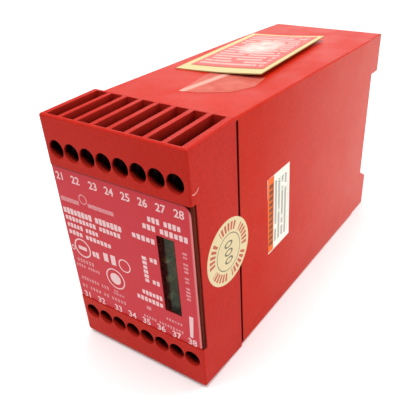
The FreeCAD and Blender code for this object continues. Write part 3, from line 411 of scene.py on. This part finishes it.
def see_through(name, tint, gloss, haze, haze_colour, shine_index=1.45, cloudy=None):
    """A clear or smoked film or sheet: tinted, shiny, with a little haze of dust in it.

    The haze's colour may be a function of the shader. The cloudy mask, if there is one,
    gives where the haze is thick.
    """
    s = Shader(name)
    rounded = s.soft_edges(0.15 * MM)
    clear = s.node("ShaderNodeBsdfTransparent", Color=tint).outputs[0]
    dust = s.ramp(s.noise(1.2, 4.0, 0.7), 0.35, 0.75, haze * 0.4, haze)
    if cloudy:
        dust = s.math("MAXIMUM", dust, cloudy(s))
    outside = s.math("SUBTRACT", 1.0, s.node("ShaderNodeNewGeometry").outputs["Backfacing"])
    if callable(haze_colour):
        haze_colour = haze_colour(s)
    matt = s.node("ShaderNodeBsdfDiffuse", Color=haze_colour, Normal=rounded).outputs[0]
    body = s.blend(s.math("MULTIPLY", dust, outside), clear, matt)
    shine = s.node("ShaderNodeBsdfGlossy", Color=(1, 1, 1, 1), Roughness=gloss, Normal=rounded)
    fresnel = s.node("ShaderNodeFresnel", IOR=shine_index, Normal=rounded).outputs[0]
    return s.finish(s.blend(s.math("MULTIPLY", fresnel, outside), body, shine.outputs[0]))


def words(s, along, across, pitch, height, letter, gap_scale):
    """Rows of short blocks that stand for lines of print, with gaps like those between words."""
    line = s.math("DIVIDE", across, pitch)
    in_row = s.math("LESS_THAN", s.math("FRACT", line), height)
    stroke = s.math("LESS_THAN", s.math("FRACT", s.math("DIVIDE", along, letter)), 0.66)
    spot = s.node(
        "ShaderNodeCombineXYZ",
        X=s.math("DIVIDE", along, gap_scale),
        Y=s.math("MULTIPLY", s.math("FLOOR", line), 7.3),
    )
    chance = s.node("ShaderNodeTexNoise", Vector=spot.outputs[0], Scale=1.0, Detail=1.0)
    return s.both(in_row, stroke, s.math("GREATER_THAN", chance.outputs[0], 0.39))


def paper(s, colour, ink_mask=None, ink=None, rough=0.6):
    """Paper with a fibre grain, faint soiling and its ink, if it is printed."""
    grime = s.ramp(s.noise(0.5, 5.0, 0.7), 0.5, 0.8, 0.0, 0.16)
    fibre = s.ramp(s.noise(6.0, 2.0), 0.3, 0.7, 0.0, 0.06)
    tone = s.mix(grime, colour, srgb(176, 150, 120))
    tone = s.mix(fibre, tone, srgb(200, 190, 170))
    if ink_mask is not None:
        tone = s.mix(ink_mask, tone, ink)
    s.principled(
        Base_Color=tone,
        Roughness=rough,
        Specular_IOR_Level=0.2,
        Normal=s.bump(s.noise(5.0, 3.0), 0.15, 0.02 * MM),
    )
    return s.material


def side_label_paper():
    """White, with an orange strip along its front edge and rows of small print."""
    s = Shader("side_label_paper")
    y, z = s.axes("YZ")
    front, low, high = SIDE[0].y / MM, SIDE[0].z / MM, SIDE[1].z / MM
    across = s.math("SUBTRACT", y, front + 4.3)
    inner = s.both(
        s.between(y, front + 4.2, SIDE[1].y / MM - 1.6),
        s.between(z, low + 2.6, high - 2.6),
    )
    lines = s.both(inner, words(s, z, across, 1.95, 0.6, 0.8, 3.0))
    strip = s.both(
        s.between(y, front + 0.2, front + 3.7),
        s.between(z, low + 0.4, high - 0.4),
    )
    bars = s.both(
        s.between(y, front + 1.1, front + 3.4),
        s.between(z, low + 2.6, high - 2.2),
        s.math("LESS_THAN", s.math("FRACT", s.math("DIVIDE", z, 1.9)), 0.74),
    )
    colour = s.mix(strip, srgb(248, 248, 236), srgb(246, 108, 10))
    return paper(s, colour, s.math("MULTIPLY", s.either(lines, bars), 0.75), srgb(60, 44, 36))


def seal_paper():
    """A cream disc with a thin inner ring, dashes round its rim and three plain ovals."""
    s = Shader("seal_paper")
    y, z = s.axes("YZ")
    across = s.math("SUBTRACT", y, (SEAL[0].y + SEAL[1].y) / 2 / MM)
    up = s.math("SUBTRACT", z, (SEAL[0].z + SEAL[1].z) / 2 / MM)
    radius = s.length(across, up)
    angle = s.math("ARCTAN2", up, across)
    ring_line = s.between(radius, 5.1, 5.35)
    dash_count = 34
    beat = s.math("FRACT", s.math("MULTIPLY", angle, dash_count / (2 * math.pi)))
    words_round = s.math("GREATER_THAN", s.math("SINE", s.math("MULTIPLY", angle, 5.0)), -0.78)
    dashes = s.both(s.between(radius, 6.1, 8.4), s.math("LESS_THAN", beat, 0.6), words_round)
    pitch = 2.4
    half = 1.5 * pitch
    rise = s.math("FRACT", s.math("DIVIDE", s.math("ADD", up, half), pitch))
    tall = s.math("MULTIPLY", s.math("SUBTRACT", rise, 0.46), pitch)
    loop = s.length(tall, s.math("MULTIPLY", across, 0.52))
    ovals = s.both(s.between(up, -half, half), s.between(loop, 0.6, 0.94))
    dark = s.math("MULTIPLY", s.either(ring_line, ovals), 0.85)
    cream = s.mix(dark, srgb(232, 214, 168), srgb(60, 64, 62))
    return paper(s, cream, s.math("MULTIPLY", dashes, 0.85), srgb(190, 50, 44))


def spare_paper():
    """The red spare label, with pale rows of print and a bleached middle."""
    s = Shader("spare_red")
    turned = s.turned(SPARE_TURN, (BACKING[0] + BACKING[1]) / 2 / MM)
    parts = s.node("ShaderNodeSeparateXYZ", Vector=turned).outputs
    along, across = parts["X"], parts["Y"]
    inner = s.both(s.between(along, -10.8, 10.6), s.between(across, -19.6, 22.6))
    lines = s.both(inner, words(s, along, across, 3.1, 0.55, 0.95, 3.4))
    off = s.math("POWER", s.math("DIVIDE", s.math("SUBTRACT", across, 6.0), 10.0), 2.0)
    aside = s.math("POWER", s.math("DIVIDE", s.math("ADD", along, 1.0), 7.0), 2.0)
    middle = s.ramp(s.math("ADD", off, aside), 1.3, 0.3, 0.0, 0.85)
    worn = s.ramp(s.noise(0.3, 4.0, 0.7), 0.34, 0.66, 0.45, 1.0)
    mask = s.either(s.math("MULTIPLY", lines, 0.62), s.math("MULTIPLY", middle, worn))
    return paper(s, srgb(214, 80, 76), mask, srgb(250, 226, 214), 0.5)


def circuit_board(name, solder, copper, shadow_from=None):
    """A circuit board: solder mask over tracks and pads; a painted black shadow to the left of
    shadow_from.
    """
    s = Shader(name)
    place = s.place()
    cells = {"feature": "DISTANCE_TO_EDGE", "distance": "MANHATTAN"}
    tracks = s.node("ShaderNodeTexVoronoi", cells, Vector=place, Scale=0.42).outputs["Distance"]
    line = s.math("LESS_THAN", tracks, 0.09)
    dots = s.node("ShaderNodeTexVoronoi", {"feature": "F1"}, Vector=place, Scale=0.75)
    pad = s.math("LESS_THAN", dots.outputs["Distance"], 0.16)
    tone = s.mix(s.math("MULTIPLY", line, 0.55), solder, copper)
    tone = s.mix(s.math("MULTIPLY", pad, 0.8), tone, srgb(200, 196, 176))
    if shadow_from is not None:
        # painted shadow of the window's left wall
        window_shadow = s.ramp(s.axes("X")[0], shadow_from + 0.3, shadow_from - 0.3, 0.0, 0.94)
        tone = s.mix(window_shadow, tone, srgb(20, 12, 12))
    s.principled(
        Base_Color=tone,
        Roughness=s.ramp(s.noise(0.8), 0.3, 0.7, 0.28, 0.4),
        Normal=s.bump(line, 0.4, 0.04 * MM),
    )
    return s.material


def lamp_lens():
    """A small clear-green lens, coloured pale as a painted glint."""
    s = Shader("lamp_lens")
    painted_glint = s.ramp(s.noise(1.2), 0.3, 0.7)
    s.principled(
        Base_Color=s.mix(painted_glint, srgb(120, 190, 150), srgb(200, 235, 210)),
        Roughness=0.12,
        Specular_IOR_Level=0.8,
        Coat_Weight=0.6,
    )
    return s.material


def laminated_core():
    """Stacked steel sheets round a wound bobbin."""
    s = Shader("laminated_core")
    sheet_thick = 0.5
    sheets = s.math("FRACT", s.math("DIVIDE", s.axes("X")[0], sheet_thick))
    seam = s.math("LESS_THAN", sheets, 0.22)
    s.principled(
        Base_Color=s.mix(seam, srgb(110, 106, 102), srgb(50, 46, 44)),
        Metallic=0.7,
        Roughness=s.ramp(s.noise(1.0, 3.0), 0.3, 0.7, 0.4, 0.6),
        Normal=s.bump(sheets, 0.3, 0.05 * MM, s.soft_edges(0.2 * MM)),
    )
    return s.material


def sleeve(name, colour, stripe):
    """A shrunk plastic sleeve with pale bands round it."""
    s = Shader(name)
    band_pitch = 11.0
    band = s.between(s.math("FRACT", s.math("DIVIDE", s.axes("Z")[0], band_pitch)), 0.40, 0.56)
    s.principled(
        Base_Color=s.mix(s.math("MULTIPLY", band, 0.7), colour, stripe),
        Roughness=s.ramp(s.noise(1.4, 3.0), 0.3, 0.7, 0.2, 0.34),
        Normal=s.bump(s.noise(1.6, 2.0), 0.2, 0.05 * MM, s.soft_edges(0.3 * MM)),
    )
    return s.material


def plate_haze(s):
    """Thick haze where the film leaves the plate uncovered at the right, and in the window's right
    part a thinner haze that is painted light, as if the board behind were lit.
    """
    x, z = s.axes("XZ")
    edge = s.ramp(x, LABEL[1].x / MM - 0.5, LABEL[1].x / MM, 0.0, 0.85)
    patchy = s.ramp(s.noise(0.7, 3.0, 0.6), 0.3, 0.7, 0.08, 0.24)
    # painted light: this haze brightens the window's right part
    window = s.both(s.ramp(x, 12.6, 13.2), s.ramp(x, 16.2, 15.7), s.ramp(z, 24.4, 26.0), patchy)
    return s.either(edge, window, 0.035)


def plate_tone(s):
    """Brown where the film leaves the plate uncovered at the right, darkened at its back by a painted
    shadow of the recess wall; grey-green in the window and red at its left, as painted light.
    """
    x, y = s.axes("XY")
    front = PLATE[0].y / MM
    streak = s.ramp(s.noise(1.5, 2.0, 0.5, stretch=(1.0, 1.0, 0.05)), 0.4, 0.6)
    brown = s.mix(streak, srgb(80, 25, 12), srgb(108, 41, 26))
    # painted shadow of the recess wall along the back of the plate's edge
    brown = s.mix(s.ramp(y, front + 0.85, front + 1.05), brown, srgb(30, 6, 4))
    # painted light in the window: grey-green to the right, faint red at its left
    grey = s.mix(s.ramp(x, 13.2, 12.6), srgb(134, 148, 126), srgb(220, 70, 60))
    return s.mix(s.ramp(x, 18.0, 20.0), grey, brown)


def tape_streak(s):
    """1 along a streak across the tape, where it has come off the roof."""
    x, y = s.axes("XY")
    front = s.math("SUBTRACT", y, TAPE[0].y / MM)
    streak = s.math("ADD", TAPE[0].x / MM + 3.6, s.math("MULTIPLY", front, 0.1))
    return s.ramp(s.apart(x, streak), 1.5, 0.6)


def tape_haze(s):
    """The tape's haze: thick, and thicker along the streak."""
    return s.ramp(tape_streak(s), 0.0, 1.0, 0.66, 0.82)


def tape_tone(s):
    """The haze's colour: the roof's red seen through, paler along the streak."""
    drift = s.ramp(s.noise(0.25, 3.0), 0.35, 0.65)
    cloud = s.mix(drift, srgb(226, 104, 88), srgb(238, 128, 110))
    return s.mix(tape_streak(s), cloud, srgb(250, 178, 160))


# -------------------------------------------------------------- dressing the CAD

CASE = (srgb(204, 42, 20), srgb(193, 32, 16), srgb(228, 86, 70))
COVER_RED = (srgb(199, 44, 32), srgb(187, 34, 26), srgb(224, 86, 76))
COVER_HOLLOWS = (driver_bores, slot_depths, seam_groove)

dress(moulded("case_red_cover", *COVER_RED, nicked=True, hollows=COVER_HOLLOWS), "front_cover")
dress(moulded("case_red_housing", *CASE, hollows=(seam_groove,), sheen_mask=painted_back_sheen), "rear_housing")
dress(
    moulded("block_red", srgb(30, 8, 8), srgb(22, 5, 5), srgb(70, 20, 18), 0.5),
    "upper_terminal_block",
    "lower_terminal_block",
)
dress(moulded("latch_black", srgb(30, 30, 32), srgb(20, 20, 22), srgb(96, 96, 98), 0.4), "latch_foot")
dress(
    moulded("header_black", srgb(24, 24, 26), srgb(16, 16, 18), srgb(70, 70, 72), 0.45),
    "board_headers",
)
dress(
    moulded("relay_white", srgb(226, 222, 206), srgb(214, 208, 190), srgb(245, 243, 236), 0.35),
    "relay_k1",
    "relay_k2",
)
dress(printed_film(), "front_label")
dress(
    see_through("smoked_plate", srgb(228, 216, 206), 0.08, 0.02, plate_tone, 1.06, plate_haze),
    "front_plate",
)
dress(
    see_through("clear_film", srgb(255, 252, 250), 0.3, 0.1, tape_tone, 1.04, tape_haze),
    "clear_tape",
)
dress(side_label_paper(), "side_label")
dress(seal_paper(), "round_seal")
dress(paper(Shader("backing_cream"), srgb(208, 192, 130), rough=0.5), "spare_label_backing")
dress(spare_paper(), "spare_label")
dress(
    circuit_board("board_green", srgb(14, 74, 44), srgb(60, 130, 80)),
    "terminal_board",
    "relay_board",
    "supply_board",
)
# painted light: the display board is paler than the real board, so that it shows lit deep in the
# case; left of 7.6 mm it carries a painted shadow
dress(circuit_board("board_display", srgb(172, 168, 158), srgb(96, 150, 112), 7.6), "display_board")
dress(lamp_lens(), "status_lamps")
dress(laminated_core(), "transformer")
dress(sleeve("can_sleeve", srgb(24, 28, 44), srgb(190, 196, 204)), "smoothing_capacitors")
dress(sleeve("varistor_blue", srgb(30, 60, 150), srgb(40, 74, 160)), "surge_varistor")
dress(see_through("fuse_glass", srgb(214, 222, 220), 0.05, 0.3, srgb(170, 172, 170)), "supply_fuse")
dress(
    metal("zinc_steel", srgb(196, 198, 202), 0.32),
    *(name for name in NODES if "_screw_" in name or "_cage_" in name),
)
dress(
    metal("tinned_copper", srgb(206, 196, 178), 0.3),
    "upper_terminal_bars",
    "lower_terminal_bars",
)
dress(metal("spring_steel", srgb(170, 172, 176), 0.25, 3.0, (1.0, 1.0, 4.0)), "latch_spring")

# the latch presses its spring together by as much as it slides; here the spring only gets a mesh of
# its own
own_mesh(NODES["latch_spring"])


# ------------------------------------------------------------ print on the film

FILM = LABEL[0].y - 0.012 * MM  # the plane of the print, just in front of the film
PRINT_DEEP = 0.01 * MM
RING_STEPS = 40
DISC_STEPS = 32
NUMBER_SIZE = 3.0
UPPER_NUMBERS = (21, 54.5, (-20.06, -14.5, *(-8.3 + 5.36 * way for way in range(6))))
LOWER_NUMBERS = (31, 15.5, (-19.6, -14.1, *(-7.4 + 5.26 * way for way in range(6))))

# each line of print: its left end and middle height, the blocks in each word, the blocks'
# height and their pitch, all in millimetres
BOLD_LINES = (
    (-21.5, 42.0, (9, 6), 1.45, 1.28),
    (-21.4, 39.7, (5, 4), 1.45, 1.2),
    (-21.4, 37.4, (4, 7), 1.45, 1.35),
    (8.7, 50.5, (3, 4), 1.6, 1.3),
    (6.8, 48.1, (3, 6), 1.6, 1.42),
    (2.8, 44.2, (5,), 1.55, 1.52),
    (7.6, 38.2, (2,), 1.5, 1.3),
    (7.6, 31.2, (2,), 1.5, 1.3),
    (3.4, 26.5, (6,), 1.5, 1.17),
    (1.2, 24.1, (7,), 1.5, 1.31),
)
SMALL_LINES = (
    (-20.6, 28.2, (6,), 1.35, 1.12),
    (-21.5, 26.2, (4, 5), 1.1, 0.95),
    (-7.8, 22.0, (3,), 0.9, 0.6),
    (-8.2, 21.0, (7,), 0.8, 0.6),
    (-20.6, 21.7, (7, 3), 1.2, 1.02),
    (-21.0, 18.7, (2, 4, 2, 5), 1.2, 1.13),
    (2.5, 17.6, (5, 9), 1.0, 0.94),
    (10.7, 20.25, (6,), 0.9, 0.94),
)
SMALL_BARS = (
    (-21.7, -14.9, 47.2, 48.5),
    (-11.6, -2.6, 47.6, 48.8),
    (4.0, 5.6, 20.5, 21.7),
)


def slab(mesh, corners):
    """A thin plate facing the front, through corners given as x and z in millimetres."""
    front = [mesh.verts.new((x * MM, FILM, z * MM)) for x, z in corners]
    back = [mesh.verts.new((x * MM, FILM + PRINT_DEEP, z * MM)) for x, z in corners]
    count = len(corners)
    mesh.faces.new(front)
    mesh.faces.new(list(reversed(back)))
    for index in range(count):
        after = (index + 1) % count
        mesh.faces.new((front[after], front[index], back[index], back[after]))


def bar(mesh, x0, x1, z0, z1, clip=0.12):
    """A bar with clipped corners."""
    clip = min(clip, (x1 - x0) / 3, (z1 - z0) / 3)
    slab(
        mesh,
        (
            (x0 + clip, z0), (x1 - clip, z0), (x1, z0 + clip), (x1, z1 - clip),
            (x1 - clip, z1), (x0 + clip, z1), (x0, z1 - clip), (x0, z0 + clip),
        ),
    )


def circle(x, z, radius, steps):
    """Points round a circle, as x and z."""
    turns = [2 * math.pi * step / steps for step in range(steps)]
    return [(x + radius * math.cos(turn), z + radius * math.sin(turn)) for turn in turns]


def ring(mesh, x, z, radius, width):
    """A ring of a given line width."""
    outer = circle(x, z, radius, RING_STEPS)
    inner = circle(x, z, radius - width, RING_STEPS)
    for here in range(RING_STEPS):
        after = (here + 1) % RING_STEPS
        slab(mesh, (inner[here], outer[here], outer[after], inner[after]))


def line_of_blocks(mesh, x, z, words_long, height, letter, upright=False, weight=0.62):
    """A line of print as small blocks, grouped in words; upright runs it up the label."""
    at = 0.0
    for word in words_long:
        for index in range(word):
            tall = height * (1.0 if index % 3 else 0.86)
            along = (x + at, x + (at + letter * weight))
            across = (z - tall / 2, z + tall / 2)
            bar(mesh, *(across + along if upright else along + across), clip=0.08)
            at += letter
        at += letter * 0.8


def piece(name, mesh, material):
    """A finished object from a mesh, riding on the casing."""
    data = bpy.data.meshes.new(name)
    bmesh.ops.recalc_face_normals(mesh, faces=mesh.faces)
    mesh.to_mesh(data)
    mesh.free()
    thing = bpy.data.objects.new(name, data)
    bpy.context.scene.collection.objects.link(thing)
    data.materials.append(material)
    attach(thing, "casing")


def number(mesh, text, x, z):
    """A plain terminal number with its middle at x and z, in millimetres."""
    curve = bpy.data.curves.new("number", "FONT")
    curve.body = text
    curve.size = NUMBER_SIZE * MM
    curve.offset = 0.06 * MM
    curve.extrude = PRINT_DEEP / 2
    curve.align_x = "CENTER"
    curve.align_y = "CENTER"
    letter = bpy.data.objects.new("number", curve)
    bpy.context.scene.collection.objects.link(letter)
    bpy.context.view_layer.update()
    shaped = letter.evaluated_get(bpy.context.evaluated_depsgraph_get())
    data = bpy.data.meshes.new_from_object(shaped)
    middle = Matrix.Translation((x * MM, FILM + PRINT_DEEP / 2, z * MM))
    data.transform(middle @ Matrix.Rotation(math.pi / 2, 4, "X"))
    mesh.from_mesh(data)
    bpy.data.objects.remove(letter)
    bpy.data.meshes.remove(data)
    bpy.data.curves.remove(curve)


ink = print_ink(
    "print_ink", srgb(244, 214, 214), srgb(222, 122, 128), 3.0, (0.36, 0.72, 0.0, 0.5)
)
faint = print_ink(
    "faint_ink", srgb(236, 172, 174), srgb(204, 66, 76), 2.4, (0.34, 0.7, 0.15, 0.95)
)

terminal_numbers = bmesh.new()
for first, height, places in (UPPER_NUMBERS, LOWER_NUMBERS):
    for way, x in enumerate(places):
        number(terminal_numbers, str(first + way), x, height)
piece("terminal_numbers", terminal_numbers, ink)

bold = bmesh.new()
line_of_blocks(bold, -21.7, 44.3, (8, 7), 1.9, 1.34, weight=0.8)
for line in BOLD_LINES:
    line_of_blocks(bold, *line, weight=0.74)
line_of_blocks(bold, 30.4, 5.7, (6,), 1.5, 1.42, upright=True, weight=0.74)
piece("print_lines", bold, ink)

marks = bmesh.new()
ring(marks, -17.4, 32.9, 3.1, 0.42)
bar(marks, -19.0, -15.8, 32.3, 33.5)
ring(marks, -21.3, 32.0, 0.8, 0.26)
line_of_blocks(marks, -13.7, 32.4, (2,), 2.0, 1.35, weight=0.8)
line_of_blocks(marks, -9.4, 33.0, (2,), 3.2, 2.7)
ring(marks, -1.9, 32.6, 2.1, 0.34)
ring(marks, -6.3, 26.6, 3.4, 0.36)
slab(marks, circle(-6.3, 26.6, 1.9, DISC_STEPS))
slab(marks, ((18.6, 24.6), (19.9, 24.6), (19.3, 17.3), (18.3, 17.3)))
piece("print_marks", marks, ink)

small = bmesh.new()
for line in SMALL_LINES:
    line_of_blocks(small, *line)
line_of_blocks(small, 29.9, 19.1, (4, 2, 3, 2), 1.4, 1.11, upright=True)
ring(small, -13.1, 49.5, 1.5, 0.4)
for sides in SMALL_BARS:
    bar(small, *sides)
piece("print_small", small, faint)


# --------------------------------------------- small parts on the display board

CHIP_TOP = 0.82  # a chip's top as a share of its base
SMALL_HIGH = 0.5
LOWEST_CHIP = 18.6
CHIP_PITCH = 3.05
LARGE_CHIPS = (20.4, 26.6, 32.8, 39.2)


def chip(mesh, x, z, wide, tall, high):
    """A small surface-mounted part with sloped sides."""
    front = BOARD[0].y
    base, top = (
        [
            mesh.verts.new(((x + a * wide * share / 2) * MM, y, (z + b * tall * share / 2) * MM))
            for a, b in ((-1, -1), (1, -1), (1, 1), (-1, 1))
        ]
        for share, y in ((1.0, front), (CHIP_TOP, front - high * MM))
    )
    mesh.faces.new(list(reversed(top)))
    mesh.faces.new(base)
    for index in range(4):
        after = (index + 1) % 4
        mesh.faces.new((base[index], base[after], top[after], top[index]))


chips = bmesh.new()
for spot in range(9):
    height = LOWEST_CHIP + spot * CHIP_PITCH
    chip(chips, 6.2, height, 0.8, 1.6, SMALL_HIGH)
    if spot % 3 != 1:
        chip(chips, 12.6 + (spot % 2) * 1.8, height + 0.6, 1.6, 0.8, SMALL_HIGH)
for height in LARGE_CHIPS:
    chip(chips, 16.2, height, 2.2, 3.2, 1.2)
chip_black = moulded("chip_black", srgb(34, 34, 38), srgb(24, 24, 28), srgb(84, 84, 88), 0.4)
piece("display_parts", chips, chip_black)


# ------------------------------------------------------- stage, light and camera

WHITE = (1, 1, 1, 1)
FLOOR_HALF = 3.0  # m
FLOOR_FADE = (320.0, 620.0)  # mm from the middle, over which the floor ends

# each soft box: its place and the point it aims at, in metres, its side and its power
SOFT_BOXES = {
    "softbox_top": ((0.0, -0.14, 0.80), (0, 0, 0.03), 0.7, 6.7),
    "softbox_right": ((0.32, 0.34, 0.26), (0, 0.05, 0.02), 0.3, 1.1),
    "softbox_left": ((-0.45, 0.75, 0.40), (0, 0, 0.05), 0.6, 2.2),
}


def lay_floor():
    """A plain pale floor that fades out far from the object."""
    side = FLOOR_HALF
    corners = [(-side, -side, 0), (side, -side, 0), (side, side, 0), (-side, side, 0)]
    mesh = bpy.data.meshes.new("floor")
    mesh.from_pydata(corners, [], [(0, 1, 2, 3)])
    floor = bpy.data.objects.new("floor", mesh)
    floor.location.z = cad_box[0][2] - 0.02 * MM
    bpy.context.scene.collection.objects.link(floor)
    s = Shader("floor_white")
    drift = s.ramp(s.noise(0.01), 0.3, 0.7, 0.0, 0.3)
    board = s.principled(
        Base_Color=s.mix(drift, (0.96, 0.96, 0.96, 1), (0.94, 0.94, 0.945, 1)),
        Roughness=0.9,
        Specular_IOR_Level=0.0,
        Emission_Color=WHITE,
        Emission_Strength=0.09,
    )
    away = s.length(*s.axes("XY"))
    nothing = s.node("ShaderNodeBsdfTransparent").outputs[0]
    fade = s.blend(s.ramp(away, *FLOOR_FADE), board.outputs[0], nothing)
    mesh.materials.append(s.finish(fade))


def light_world():
    """A soft even light from all sides, behind which the camera sees plain white."""
    world = bpy.data.worlds.new("studio")
    bpy.context.scene.world = world
    world.use_nodes = True
    tree = world.node_tree
    tree.nodes.clear()
    mix = tree.nodes.new("ShaderNodeMixShader")
    path = tree.nodes.new("ShaderNodeLightPath")
    tree.links.new(path.outputs["Is Camera Ray"], mix.inputs[0])
    for socket, colour, strength in ((1, (1.0, 0.99, 0.98, 1), 0.31), (2, WHITE, 1.0)):
        background = tree.nodes.new("ShaderNodeBackground")
        background.inputs[0].default_value = colour
        background.inputs[1].default_value = strength
        tree.links.new(background.outputs[0], mix.inputs[socket])
    out = tree.nodes.new("ShaderNodeOutputWorld")
    tree.links.new(mix.outputs[0], out.inputs[0])


def hang_soft_boxes():
    """The studio's soft boxes."""
    for name, (place, aim, size, power) in SOFT_BOXES.items():
        data = bpy.data.lights.new(name, "AREA")
        data.shape = "SQUARE"
        data.size = size
        data.energy = power
        lamp = bpy.data.objects.new(name, data)
        lamp.location = place
        ray = Vector(aim) - Vector(place)
        lamp.rotation_euler = ray.to_track_quat("-Z", "Y").to_euler()
        bpy.context.scene.collection.objects.link(lamp)


def set_camera():
    """The camera, by the direction it looks from, its tilt, its distance and its lens."""
    round_angle, height_angle, tilt = (math.radians(value) for value in (32.346, 31.814, -1.132))
    target = Vector((-2.188, 0.0, 14.123)) * MM
    away = 185.486 * MM
    back = Vector(
        (
            math.sin(round_angle) * math.cos(height_angle),
            -math.cos(round_angle) * math.cos(height_angle),
            math.sin(height_angle),
        )
    )
    across = Vector((0, 0, 1)).cross(back).normalized()
    up = back.cross(across)
    right = math.cos(tilt) * across + math.sin(tilt) * up
    above = -math.sin(tilt) * across + math.cos(tilt) * up
    matrix = Matrix((right, above, back)).transposed().to_4x4()
    matrix.translation = target + back * away
    data = bpy.data.cameras.new("camera")
    data.sensor_width = 36.0
    data.lens = 43.247
    data.shift_x = -0.0810
    data.shift_y = 0.0291
    data.clip_start = 0.01
    thing = bpy.data.objects.new("camera", data)
    thing.matrix_world = matrix
    bpy.context.scene.collection.objects.link(thing)
    bpy.context.scene.camera = thing


lay_floor()
light_world()
hang_soft_boxes()
bpy.context.scene.view_settings.view_transform = "Standard"
set_camera()
